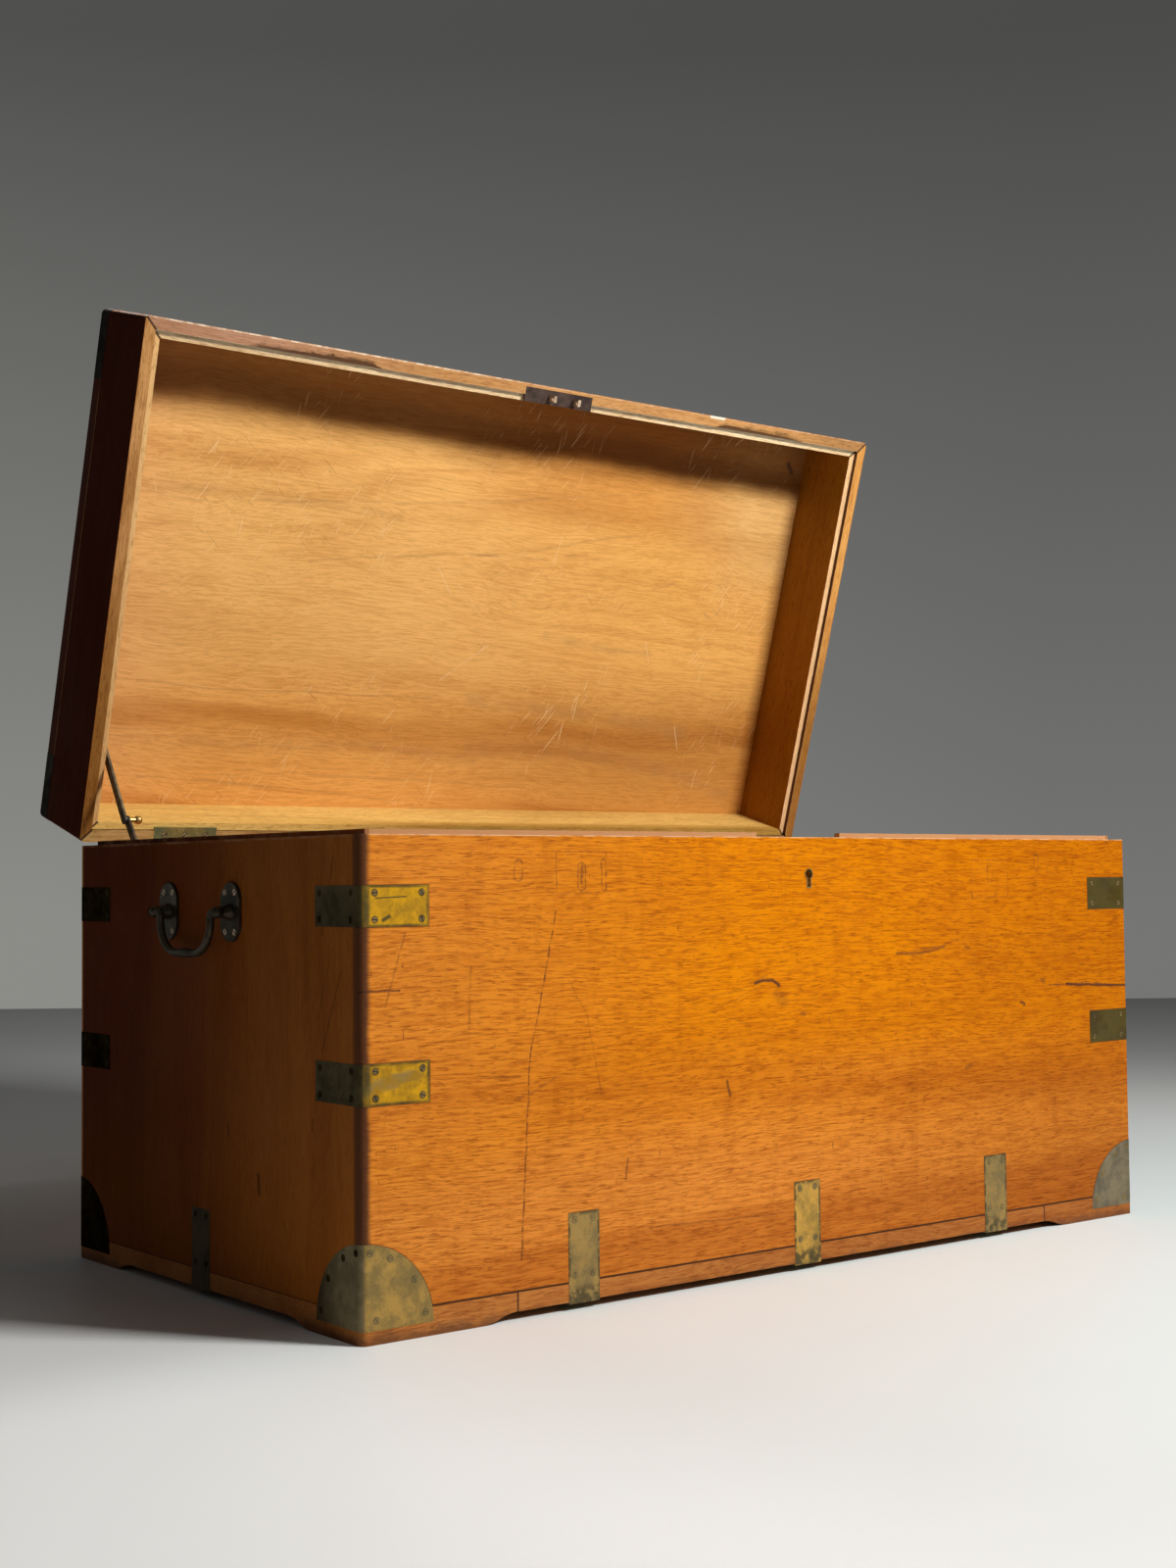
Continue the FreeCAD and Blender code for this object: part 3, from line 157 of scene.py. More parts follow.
# ---- shader helper
class Shader:
    """The node tree of a material or a world, with one short call for each kind of node."""

    def __init__(self, name, kind=bpy.data.materials):
        self.owner = kind.new(name)
        self.owner.use_nodes = True
        self.tree = self.owner.node_tree
        self.surface = next(item for item in self.tree.nodes if item.type in ("BSDF_PRINCIPLED", "BACKGROUND"))

    def node(self, kind, inputs=(), **settings):
        item = self.tree.nodes.new(kind)
        for key, value in settings.items():
            setattr(item, key, value)
        for key, value in dict(inputs).items():
            self.feed(item.inputs[key], value)
        return item

    def feed(self, socket, value):
        if isinstance(value, bpy.types.NodeSocket):
            self.tree.links.new(value, socket)
        elif isinstance(value, tuple) and len(value) == 3 and socket.type == "RGBA":
            socket.default_value = (*value, 1)
        else:
            socket.default_value = value

    def math(self, operation, *values):
        return self.node("ShaderNodeMath", dict(enumerate(values)), operation=operation).outputs[0]

    def fold(self, operation, values):
        total = values[0]
        for value in values[1:]:
            total = self.math(operation, total, value)
        return total

    def times(self, *values):
        return self.fold("MULTIPLY", values)

    def most(self, *values):
        return self.fold("MAXIMUM", values)

    def less(self, value, other):
        return self.math("SUBTRACT", value, other)

    def size(self, value):
        return self.math("ABSOLUTE", value)

    def off(self, value, middle):
        """How far a value is from a middle one, to either side."""
        return self.size(self.less(value, middle))

    def sum(self, *terms):
        """The sum of weighted values, given as (value, weight) pairs."""
        total = 0.0
        for value, weight in terms:
            total = self.math("MULTIPLY_ADD", value, weight, total)
        return total

    def sway(self, value, noise, reach):
        """A value moved to both sides by a noise."""
        return self.math("MULTIPLY_ADD", self.less(noise, 0.5), reach, value)

    def ramp(self, value, low, high, out_low=0.0, out_high=1.0, kind="SMOOTHSTEP"):
        """Map a value from one range to another, held at its ends."""
        return self.node("ShaderNodeMapRange", {"Value": value, "From Min": low, "From Max": high,
                                                "To Min": out_low, "To Max": out_high},
                         interpolation_type=kind).outputs[0]

    def ramps(self, value, *ends):
        """The product of several ramps over one value."""
        return self.times(*[self.ramp(value, *pair) for pair in ends])

    def mix(self, amount, one, other, blend="MIX"):
        inputs = {0: amount, 6: one, 7: other}
        return self.node("ShaderNodeMix", inputs, data_type="RGBA", blend_type=blend).outputs[2]

    def fade(self, value, start, end, one, other):
        """One colour that turns into another between two values."""
        return self.mix(self.ramp(value, start, end), one, other)

    def stain(self, amount, color, tone):
        return self.mix(amount, color, tone, "MULTIPLY")

    def lay(self, color, *layers):
        """Colours laid one over another. Each layer is its colour, then the masks and strengths to multiply."""
        for tone, *masks in layers:
            color = self.mix(self.times(*masks), color, tone)
        return color

    def noise(self, where, scale, detail=4.0, rough=0.55, twist=0.0):
        """Noise of one scale, or of three along the axes."""
        if isinstance(scale, tuple):
            where, scale = self.scaled(where, scale), 1.0
        return self.node("ShaderNodeTexNoise", {"Vector": where, "Scale": scale, "Detail": detail,
                                                "Roughness": rough, "Distortion": twist}).outputs["Fac"]

    def vector(self, operation, *values):
        item = self.node("ShaderNodeVectorMath", dict(enumerate(values)), operation=operation)
        return item.outputs["Value" if operation in ("DOT_PRODUCT", "DISTANCE") else "Vector"]

    def scaled(self, where, scale):
        return self.vector("MULTIPLY", where, scale)

    def turned(self, where, angles):
        return self.node("ShaderNodeMapping", {"Vector": where, "Rotation": angles}).outputs[0]

    def place(self, lid=False):
        """Coordinates in metres about the case's middle, or those of the shut lid."""
        where = self.vector("SUBTRACT", self.node("ShaderNodeTexCoord").outputs["Object"], on_case(0, 0, 0))
        if not lid:
            return where
        pivot = Vector((0, HINGE_Y, HINGE_Z)) * MM
        return self.vector("ADD", self.turned(self.vector("SUBTRACT", where, pivot), (OPEN, 0, 0)), pivot)

    def split(self, where):
        return self.node("ShaderNodeSeparateXYZ", {0: where}).outputs

    def join(self, x, y, z):
        return self.node("ShaderNodeCombineXYZ", {0: x, 1: y, 2: z}).outputs[0]

    def bump(self, height, strength, distance):
        inputs = {"Height": height, "Strength": strength, "Distance": distance}
        return self.node("ShaderNodeBump", inputs).outputs[0]

    def finish(self, color, roughness, normal=None, metallic=0.0, gloss=0.5):
        for key, value in (("Base Color", color), ("Roughness", roughness), ("Metallic", metallic),
                           ("Specular IOR Level", gloss)):
            self.feed(self.surface.inputs[key], value)
        if normal is not None:
            self.feed(self.surface.inputs["Normal"], normal)
        return self.owner

    # masks of marks on a flat face, whose points and widths are in millimetres
    def reach(self, flat, start, end):
        """Distance to a stretch between two points."""
        a, b = (Vector((point[0], point[1], 0)) * MM for point in (start, end))
        along = b - a
        off = self.vector("SUBTRACT", flat, a)
        share = self.math("DIVIDE", self.vector("DOT_PRODUCT", off, along), along.length_squared)
        share = self.math("MINIMUM", self.math("MAXIMUM", share, 0.0), 1.0)
        foot = self.node("ShaderNodeVectorMath", {0: along, "Scale": share}, operation="SCALE").outputs[0]
        return self.vector("DISTANCE", off, foot)

    def stroke(self, flat, start, end, wide, soft=0.6):
        """1 along a straight scratch between two points, and 0 away from it."""
        return self.ramp(self.reach(flat, start, end), wide * MM * (1 + soft) / 2, wide * MM * (1 - soft) / 2)

    def path(self, flat, points, wide, soft=0.6):
        return self.most(*[self.stroke(flat, a, b, wide, soft) for a, b in zip(points, points[1:])])

    def paths(self, flat, rows):
        """The most of several paths, given as (width, strength, *points)."""
        return self.most(*[self.times(self.path(flat, points, wide), power) for wide, power, *points in rows])

    def outline(self, gap, wide):
        return self.ramp(self.size(gap), wide * MM, wide * MM * 0.3)

    def ring(self, flat, start, end, radius, wide):
        """The outline of a round-ended slot."""
        return self.outline(self.less(self.reach(flat, start, end), radius * MM), wide)

    def frame(self, flat, low, high, wide):
        """The outline of a rectangle, and its inside."""
        gap = self.most(*[self.less(self.off(value, (start + end) / 2 * MM), (end - start) / 2 * MM)
                          for value, start, end in zip(self.split(flat), low, high)])
        return self.outline(gap, wide), self.ramp(gap, 0.0005, -0.0005)


# ---- wood
def wood(name, along="x", base=None, lid=False, seed=0.0, bands=0.4, streaks=0.3, fine=0.5, flecks=0.5,
         roughness=0.45, gloss=0.1, wander=0.06, heart=None, tint=None, marks=None):
    """Waxed wood of a base colour, or of tint(shade, where), with marks on it.

    heart is (x, across, slope): the middle of the rings that the board's face cuts, and how fast they
    close along it. bands may be a function, as tint is.
    """
    shade = Shader(name)
    where = shade.place(lid)
    x, y, z = shade.split(where)
    gx, gy, gz = {"x": (x, y, z), "y": (y, x, z), "z": (z, x, y)}[along]  # the grain runs along the first
    spot = shade.vector("ADD", shade.scaled(shade.join(gx, gy, gz), (1.6, 5.0, 5.0)), (seed, seed, seed))
    drift = shade.times(shade.less(shade.noise(spot, 1.3, 3), 0.5), wander)
    gx = shade.math("ADD", gx, seed)
    bent = shade.join(gx, shade.math("ADD", gy, drift), shade.math("ADD", gz, drift))
    rings = bent
    if heart:
        across = shade.less(gy if lid else gz, heart[1] * MM)
        away = shade.times(shade.less(gx, heart[0] * MM + seed), heart[2])
        ring = shade.math("ADD", shade.math("POWER", across, 2.0), shade.math("POWER", away, 2.0))
        ring = shade.math("ADD", shade.math("SQRT", ring), drift)
        rings = shade.join(gx, ring, shade.times(across, 0.35))
    broad = shade.noise(rings, (0.8, 15, 15), 2, 0.5)
    lines = shade.noise(rings, (1.8, 70, 70), 3, 0.6)
    fibre = shade.noise(bent, (26, 500, 500), 4, 0.7)
    pores = shade.ramp(shade.noise(bent, (80, 820, 820), 2, 0.5), 0.55, 0.63)
    blotch = shade.noise(where, 7.0, 4, 0.6)
    color = tint(shade, where) if tint else base
    if callable(bands):
        bands = bands(shade, where)
    deep, deeper = (0.7, 0.57, 0.42), (0.5, 0.38, 0.28)
    color = shade.stain(shade.times(shade.ramp(broad, 0.56, 0.36), bands), color, deep)
    color = shade.stain(shade.ramp(lines, 0.5, 0.34, 0, streaks), color, deep)
    color = shade.stain(shade.ramp(fibre, 0.57, 0.4, 0, fine), color, deep)
    color = shade.stain(shade.times(pores, flecks), color, deeper)
    color = shade.stain(shade.ramp(blotch, 0.44, 0.7, 0, 0.22), color, (0.8, 0.7, 0.6))
    height = shade.sum((fibre, 0.5), (pores, -0.6))
    rough = shade.ramp(blotch, 0.3, 0.7, roughness - 0.06, roughness + 0.1)
    if marks:
        color, height = marks(shade, where, color, height)
    return shade.finish(color, rough, shade.bump(height, 0.3, 0.0006), gloss=gloss)


def bare_inside(shade, color, value, inner):
    """The bare inner face of a board, whose colour ends just outside it."""
    return shade.fade(shade.size(value), inner, inner - 0.002, color, BARE_WOOD)


def front_tint(shade, where):
    """Honey orange, pinker and browner low down and at the left, and yellower at the top."""
    x, y, z = shade.split(where)
    wavy = shade.sway(z, shade.noise(shade.scaled(where, (1.5, 9, 9)), 1.2, 3), 0.1)
    brown = shade.most(shade.ramp(wavy, 0.24, 0.07), shade.ramp(x, -0.1, -0.5, 0, 0.7))
    color = shade.mix(brown, (0.71, 0.222, 0.0), (0.71, 0.245, 0.034))
    color = shade.stain(shade.ramp(x, -0.15, 0.5), color, (0.73, 0.67, 0.5))
    return bare_inside(shade, color, y, INNER_Y)


def back_tint(shade, where):
    return bare_inside(shade, (0.64, 0.27, 0.07), shade.split(where)[1], INNER_Y)


def front_bands(shade, where):
    """The broad brown bands show in the lower third only."""
    return shade.ramp(shade.split(where)[2], 0.24, 0.12, 0.12, 0.75)


def brass_edges(shade, x, z):
    """Thin dark lines where the wood meets the let-in brasses of the front, 1 on a line."""
    flat, mirrored, wide = shade.join(x, z, 0), shade.join(shade.size(x), z, 0), 1.3
    edges = [shade.frame(mirrored, (HALF_W - LEG_FRONT, low), (HALF_W + 9, low + STRAP_WIDE), wide)[0]
             for low in STRAP_LOWS]
    edges += [shade.frame(flat, (middle - BASE_HALF, BASE_FOOT - 20), (middle + BASE_HALF, BASE_TOP), wide)[0]
              for middle in BASE_X]
    gap = shade.off(shade.vector("DISTANCE", mirrored, (HALF_W * MM, CORNER_LOW * MM, 0)), CORNER_REACH * MM)
    above = shade.ramp(z, CORNER_LOW * MM - 0.001, CORNER_LOW * MM)
    return shade.most(*edges, shade.times(shade.ramp(gap, 0.0013, 0.0004), above))


def front_marks(shade, where, color, height):
    """Lines, cracks, let-in patches and filled slots; the plinth's joint; the rim, pale as worn wood and as a
    painted highlight; painted shade on the rounded left end, and the worn right end.
    """
    x, _, z = shade.split(where)
    shake = shade.sway(0.0, shade.noise(where, 85, 2), 0.003)
    flat = shade.vector("ADD", shade.join(x, z, 0), shade.join(shake, shake, 0))
    lines = shade.paths(flat, FRONT_LINES)
    for low, high in FRONT_PATCHES:
        edge, inside = shade.frame(flat, low, high, 1.0)
        lines = shade.most(lines, shade.times(edge, 0.5))
        color = shade.lay(color, ((0.56, 0.16, 0.004), inside, 0.15))
    for start, end, radius in FRONT_SLOTS:
        lines = shade.most(lines, shade.times(shade.ring(flat, start, end, radius, 1.3), 0.7))
    filling = shade.path(flat, [(-271, 386), (-271, 367)], 3.4, 1.0)
    ticks = shade.ramp(shade.noise(where, (330, 60, 75), 1), 0.7, 0.76)
    ticks = shade.times(ticks, shade.ramp(shade.noise(where, 9.0, 1), 0.46, 0.6), 0.75)
    lines = shade.most(lines, shade.times(filling, 0.8), ticks)
    lines = shade.times(lines, shade.ramp(shade.noise(where, 210, 3), 0.38, 0.58, 0.2, 1.0))
    smear = shade.ramp(shade.noise(where, (55, 1, 9), 3), 0.54, 0.72, 0, 0.22)
    color = shade.stain(smear, color, (0.62, 0.48, 0.36))
    joint = shade.ramp(shade.off(z, 0.024), 0.0019, 0.0009)
    ragged = shade.ramp(shade.noise(where, 60, 3), 0.38, 0.6, 0.2, 0.9)
    small = shade.times(shade.noise(where, 50, 3, 0.6), 0.003)
    color = shade.lay(
        color, ((0.17, 0.05, 0.012), lines), ((0.085, 0.028, 0.012), shade.paths(flat, FRONT_CRACKS)),
        ((0.09, 0.035, 0.012), brass_edges(shade, x, z), 0.75), ((0.045, 0.018, 0.008), joint, 0.95),
        # a pale rim line, partly worn wood and partly a painted highlight
        ((0.7, 0.44, 0.24), shade.ramp(z, 0.4113, 0.412), ragged),
        ((0.52, 0.27, 0.12), shade.ramp(z, 0.4124, 0.4129)),
        # painted shade on the rounded left end of the front
        ((0.06, 0.022, 0.014), shade.ramp(shade.less(small, x), 0.4905, 0.4965), 0.9),
        ((0.22, 0.08, 0.03), shade.ramp(shade.math("ADD", small, x), 0.4995, 0.5035), 0.5))
    return color, shade.less(height, shade.times(lines, 1.5))


def end_tint(shade, where):
    """The ends of the case: red brown. The left one is darker and redder, partly as painted shade, and its
    painted shade deepens towards the back; it is lighter low down.
    """
    x, y, z = shade.split(where)
    # painted shade on the left end, darkest towards the back
    back = shade.ramp(shade.sway(y, shade.noise(where, 4.0, 4), 0.12), -0.24, 0.19)
    left = shade.mix(back, (0.38, 0.12, 0.018), (0.12, 0.019, 0.0))
    left = shade.mix(shade.ramp(z, 0.2, 0.03, 0, 0.35), left, (0.44, 0.13, 0.01))
    return bare_inside(shade, shade.fade(x, 0.0, 0.1, left, (0.5, 0.18, 0.032)), x, INNER_X)


def end_marks(shade, where, color, height):
    """The plinth's joint, the worn rim, a few cracks and painted shade on the rounded edge beside the front."""
    _, y, z = shade.split(where)
    flat = shade.join(y, z, 0)
    ragged = shade.ramp(shade.noise(where, 60, 3), 0.4, 0.6, 0.1, 0.6)
    cracks = [((0.03, 0.01, 0.0), shade.path(flat, points, wide, 0.9), strength)
              for wide, strength, *points in END_CRACKS]
    return shade.lay(
        color, ((0.03, 0.012, 0.006), shade.ramp(shade.off(z, 0.0235), 0.0014, 0.0005), 0.85),
        ((0.4, 0.2, 0.1), shade.ramp(z, 0.4095, 0.4115), ragged), *cracks,
        # painted shade on the rounded edge beside the front
        ((0.04, 0.016, 0.01), shade.ramp(y, -0.2515, -0.256), 0.55)), height


def panel_tint(shade, where):
    """Light tan inside, redder towards the hinges and greyer at the upper right, with painted shade there too,
    and the front rail's shadow painted along the front. Outside it matches the rails, with painted shade on its
    left edge.
    """
    x, y, z = shade.split(where)
    cloud = shade.noise(where, 5.0, 3)
    down = shade.ramp(shade.sway(y, cloud, 0.1), 0.05, 0.14)
    right = shade.ramp(x, -0.12, 0.28)
    inside = shade.mix(down, shade.mix(right, (0.94, 0.525, 0.162), (0.9, 0.47, 0.122)),
                       shade.mix(right, (0.86, 0.425, 0.105), (0.66, 0.305, 0.066)))
    corner = shade.sway(shade.vector("DISTANCE", shade.join(x, y, 0), (0.47, -0.19, 0)), cloud, 0.25)
    inside = shade.mix(shade.ramp(corner, 0.24, 0.05, 0, 0.8), inside, (0.8, 0.49, 0.185))
    inside = shade.mix(shade.ramp(x, -0.3, -0.49, 0, 0.6), inside, (0.94, 0.52, 0.2))
    # painted shade: darker at the upper right of the inside
    painted_shade_upper_right = shade.times(shade.ramp(y, -0.09, -0.14), shade.ramps(x, (-0.1, 0.12), (0.41, 0.31)))
    inside = shade.stain(painted_shade_upper_right, inside, (0.82, 0.72, 0.62))
    # painted shadow of the front rail along the front of the panel
    edge = shade.sway(y, cloud, 0.05)
    deep = shade.fade(edge, -0.208, -0.232, (0.29, 0.225, 0.165), (0.41, 0.34, 0.27))
    inside = shade.stain(shade.ramp(edge, -0.174, -0.199), inside, deep)
    # painted shade on the left edge of the lid's top
    outside = shade.fade(x, -0.4985, -0.4995, (0.52, 0.185, 0.03), (0.075, 0.011, 0.0))
    return shade.fade(z, *PANEL_TOP, inside, outside)


def panel_bands(shade, where):
    """Soft brown bands towards the hinges and high up, hardly any in the middle."""
    y = shade.split(where)[1]
    return shade.most(shade.ramp(y, 0.04, 0.14, 0.25, 1.0), shade.ramp(y, -0.07, -0.15, 0.25, 0.8))


def panel_marks(shade, where, color, height):
    """Pale crossing scratches, a small knot and darker streaks on the inside of the lid."""
    x, y, z = shade.split(where)
    plain, flat = color, shade.join(x, y, 0)
    color = shade.lay(color, ((0.1, 0.05, 0.03), shade.path(flat, [(452, -222), (460, -212)], 6.0, 0.9)))
    bent = shade.join(0.0, shade.sway(0.0, shade.noise(where, 11.0, 3), 0.01), 0.0)
    wavy = shade.vector("ADD", flat, bent)
    fading = shade.ramp(shade.noise(where, 26.0, 3), 0.36, 0.62, 0.35, 1.0)
    for wide, strength, *points in PANEL_LINES:
        color = shade.lay(color, ((0.42, 0.2, 0.07), shade.path(wavy, points, wide, 1.0), strength, fading))
    for start, end in PANEL_SCRATCHES:
        color = shade.lay(color, ((0.96, 0.68, 0.36), shade.stroke(wavy, start, end, 1.6, 1.0), fading, 0.4))
    area = shade.ramp(shade.noise(where, 6.0, 2), 0.48, 0.62)
    pale, dark = (0.97, 0.7, 0.36), (0.35, 0.14, 0.04)
    for turn, scale, low, strength, tone in (
            (0.95, (26, 520, 100), 0.66, 0.5, pale), (1.45, (20, 420, 100), 0.68, 0.45, pale),
            (-0.7, (30, 430, 100), 0.68, 0.35, dark)):
        drawn = shade.noise(shade.turned(where, (0, 0, turn)), scale, 1)
        color = shade.lay(color, (tone, shade.ramp(drawn, low, low + 0.07), area, strength))
    return shade.fade(z, *PANEL_TOP, color, plain), height


def near_rim(shade, z):
    """1 on the lid's rim and in its rebate, 0 above them on the shut lid."""
    return shade.ramp(z, 0.419, 0.4181)


def rebate_step(shade, away, z, lip, end):
    """1 on the upright step of the rebate, from the lip to where the ramp named end falls."""
    return shade.times(shade.ramps(away, (lip - 0.0004, lip - 0.0001), end),
                       shade.ramps(z, (RIM_Z + 0.0002, RIM_Z + 0.0005), (LIP_Z - 0.0001, LIP_Z - 0.0003)))


def mitres(shade, x, y, z):
    """The layer of dark lines where the rails of the lid meet at 45 degrees."""
    corner = shade.off(shade.less(shade.size(x), shade.size(y)), 0.235)
    return (0.045, 0.022, 0.012), shade.ramp(corner, 0.0021, 0.001), near_rim(shade, z), 0.93


def rail_tint(shade, where):
    """A front or back rail: worn on its rim, pale inside the rebate and paler next to its step as painted
    light, and outside as the case's front.
    """
    x, y, z = shade.split(where)
    away, back = shade.size(y), shade.ramp(y, 0.0, 0.1)
    outer = shade.ramp(shade.most(shade.less(away, LIP_Y), shade.less(shade.size(x), LIP_X)), -0.0004, 0.0004)
    dull = shade.times(shade.ramp(z, 0.44, 0.424), shade.ramp(x, -0.3, -0.05))
    bare = shade.fade(x, -0.1, 0.15, (0.94, 0.64, 0.19), (0.83, 0.54, 0.155))
    # painted light: the lip is paler next to the step, against the step's shadow
    lip = shade.fade(away, LIP_Y - 0.0062, LIP_Y - 0.003, (0.95, 0.7, 0.4), (1.0, 0.84, 0.56))
    inner = shade.mix(back, lip, shade.mix(dull, bare, (0.56, 0.33, 0.07)))
    rim = shade.fade(x, -0.42, -0.14, (0.58, 0.32, 0.2), (0.62, 0.32, 0.115))
    rim = shade.fade(x, 0.36, 0.46, rim, (0.44, 0.22, 0.078))
    worn = shade.fade(shade.noise(where, 30, 4), 0.4, 0.6, (0.6, 0.38, 0.14), (0.42, 0.24, 0.085))
    low = shade.times(near_rim(shade, z), shade.ramp(away, 0.2648, 0.2641))
    return shade.mix(outer, inner, shade.mix(low, (0.66, 0.235, 0.026), shade.mix(back, rim, worn)))


def rail_marks(shade, where, color, height):
    """Pale bare wood where the front lip is chipped, made paler as painted light; painted shade on the rebate's
    step; a painted highlight along the outer edge, broken up by noise; a painted glint; dark mitres.
    """
    x, y, z = shade.split(where)
    ragged = shade.noise(where, 90, 4, 0.7)
    # pale bare wood of the chips, brightened further as painted light
    chip_wood_and_painted_light = shade.fade(ragged, 0.4, 0.6, (0.95, 0.72, 0.42), (1.0, 0.93, 0.7))
    low = shade.times(shade.ramp(z, 0.415, 0.414), shade.ramp(y, -0.2, -0.21))
    # a painted glint on the lid's front edge
    painted_glint = shade.stroke(shade.join(x, y, 0), (236, -264), (256, -264), 4.0, 0.5)
    floor = shade.ramps(z, (LIP_Z - 0.0004, LIP_Z - 0.0002), (LIP_Z + 0.0006, LIP_Z + 0.0003))
    return shade.lay(
        color, (chip_wood_and_painted_light, shade.ramp(y, -LIP_Y + 0.0008, -LIP_Y), floor),
        # painted shade on the rebate's step
        ((0.075, 0.032, 0.014), rebate_step(shade, shade.size(y), z, LIP_Y, (0.2632, 0.2626)), 0.9),
        # painted highlight along the outer edge, broken up by noise
        ((0.95, 0.74, 0.54), shade.ramp(y, -0.263, -0.2638), shade.ramp(ragged, 0.42, 0.62, 0.25, 0.95),
         shade.ramp(x, -0.12, 0.0, 1.0, 0.3), low),
        mitres(shade, x, y, z), ((0.92, 0.8, 0.62), painted_glint, low)), height


def side_rail_tint(shade, where):
    """The ends of the lid: dark inside, with a pale lip inside the rebate; outside, the left one is near black
    with painted shade.
    """
    x, y, z = shade.split(where)
    away, rim, right = shade.size(x), near_rim(shade, z), shade.ramp(x, -0.1, 0.1)
    patch = shade.ramp(shade.noise(where, (40, 9, 40), 3), 0.38, 0.62)
    rims = []
    for ends, front, back, darker in (
            ((-0.1, 0.12), (0.62, 0.32, 0.115), (0.43, 0.205, 0.055), (0.72, 0.66, 0.55)),
            ((-0.06, 0.11), (0.74, 0.36, 0.095), (0.42, 0.185, 0.035), (0.85, 0.78, 0.7))):
        tone = shade.mix(shade.ramp(y, *ends), front, back)
        rims.append(shade.mix(patch, shade.scaled(tone, darker), tone))
    inside = shade.mix(right, (0.36, 0.125, 0.018), (0.38, 0.175, 0.015))
    pale = shade.mix(right, (0.86, 0.53, 0.22), (0.92, 0.58, 0.29))
    # painted shade: the left rail's outside near black
    outside = shade.mix(right, (0.072, 0.01, 0.0), (0.5, 0.18, 0.04))
    edge = shade.ramps(away, (LIP_X - 0.0002, LIP_X + 0.0004), (0.4998, 0.4991))
    return shade.lay(outside, (inside, shade.ramp(away, 0.4874, 0.486)), (shade.mix(right, *rims), rim, edge),
                     (pale, rim, shade.ramp(away, LIP_X + 0.0004, LIP_X - 0.0002)))


def side_rail_marks(shade, where, color, height):
    """Painted shade on the step of a side rail's rebate, and the dark mitres at its ends."""
    x, y, z = shade.split(where)
    # painted shade on the rebate's step
    step = rebate_step(shade, shade.size(x), z, LIP_X, (LIP_X + 0.004, LIP_X + 0.003))
    return shade.lay(color, ((0.055, 0.022, 0.008), step, 0.9), mitres(shade, x, y, z)), height


def plinth_marks(shade, where, color, height):
    """Dark joints where the rails meet the feet, and a darker lower edge."""
    x, _, z = shade.split(where)
    flat = shade.join(x, z, 0)
    gaps = shade.most(*[shade.stroke(flat, (place, 0), (place, 30), 1.8) for place in FOOT_JOINTS])
    darker_edges = shade.ramp(shade.sum((z, 1.0), (shade.noise(where, 45, 4), 0.02)), 0.022, 0.011, 0, 0.7)
    return shade.lay(color, ((0.04, 0.015, 0.01), gaps, 0.9), ((0.1, 0.04, 0.02), darker_edges)), height


# ---- metals
def metal(name, dark, light=None, roughness=0.45, metallic=0.4, gloss=0.2, patina=0.5, lid=False, tint=None):
    """Old metal: cloudy patina, dark specks and scratches. tint gives its bright and dull colours instead."""
    shade = Shader(name)
    where = shade.place(lid)
    cloud = shade.noise(where, 28, 5, 0.6, 0.3)
    mist = shade.noise(where, 126, 4, 0.65)
    speck = shade.noise(where, 476, 2, 0.7)
    scratch = shade.noise(shade.turned(where, (0.3, 0.5, 0.9)), (900, 60, 900), 2, 0.6)
    bright, dull = tint(shade, where) if tint else (light, dark)
    amount = shade.ramp(shade.sum((cloud, 0.65), (mist, 0.35)), 0.5 - patina * 0.22, 0.66 - patina * 0.12)
    color = shade.mix(amount, dull, bright)
    color = shade.mix(shade.ramp(speck, 0.62, 0.72, 0, 0.6), color, tuple(c * 0.4 for c in dark))
    color = shade.mix(shade.ramp(scratch, 0.64, 0.72, 0, 0.3), color, bright)
    rough = shade.ramp(cloud, 0.35, 0.7, roughness + 0.15, roughness - 0.08)
    height = shade.sum((mist, 0.5), (speck, -0.4))
    return shade.finish(color, rough, shade.bump(height, 0.22, 0.0005), metallic, gloss)


def on_front(shade, y):
    """1 on a brass's leg on the front, 0 on its leg round the end."""
    return shade.ramp(y, -0.264, -0.265)


def strap_tint(shade, where):
    """Bright yellow on the left legs of the front, olive on the right ones, dark on the ends."""
    x, y, z = shade.split(where)
    flat, front = shade.join(x, z, 0), on_front(shade, y)
    left = shade.times(front, shade.ramp(x, -0.4, -0.42))
    ragged = shade.noise(where, 40, 3)
    streaky = shade.noise(where, (30, 30, 160), 3)
    grey = shade.sum((shade.reach(flat, (-506, 204), (-446, 214)), 1.0), (ragged, 0.008), (streaky, 0.01))
    yellow = shade.lay((0.66, 0.34, 0.01), ((0.2, 0.155, 0.075), shade.ramp(grey, 0.0165, 0.0115), 0.8))
    plain = shade.fade(z, 0.28, 0.27, (0.065, 0.04, 0.001), (0.085, 0.048, 0.001))
    plain = shade.mix(front, (0.1, 0.075, 0.03), plain)
    plain = shade.fade(y, -0.1, 0.0, plain, (0.02, 0.014, 0.006))
    bright = shade.mix(left, plain, yellow)
    dull = shade.mix(left, shade.scaled(plain, (0.5, 0.5, 0.5)), (0.36, 0.185, 0.012))
    half = STRAP_WIDE / 2 * MM
    # the second of these is painted shade on the straps' rounded left end; the rest are dark borders
    borders = [shade.ramp(x, -0.4365, -0.4345), shade.ramp(x, -0.4885, -0.493)]
    for low in STRAP_LOWS:
        borders.append(shade.ramps(shade.off(z, low * MM + half), (half - 0.003, half - 0.0008), (0.03, 0.028)))
    border_and_edge_shade = shade.times(shade.most(*borders), shade.ramp(ragged, 0.3, 0.6, 0.45, 0.95))
    marks = shade.most(shade.path(flat, [(-485, 360), (-455, 361)], 1.1),
                       shade.path(flat, [(-478, 342), (-472, 345)], 3.2, 0.9))
    # dirt here holds the dark borders and marks, and the painted shade of the rounded left end
    dirt = shade.times(shade.most(border_and_edge_shade, marks), front)
    return shade.mix(dirt, bright, (0.1, 0.075, 0.02)), shade.mix(dirt, dull, (0.07, 0.05, 0.018))


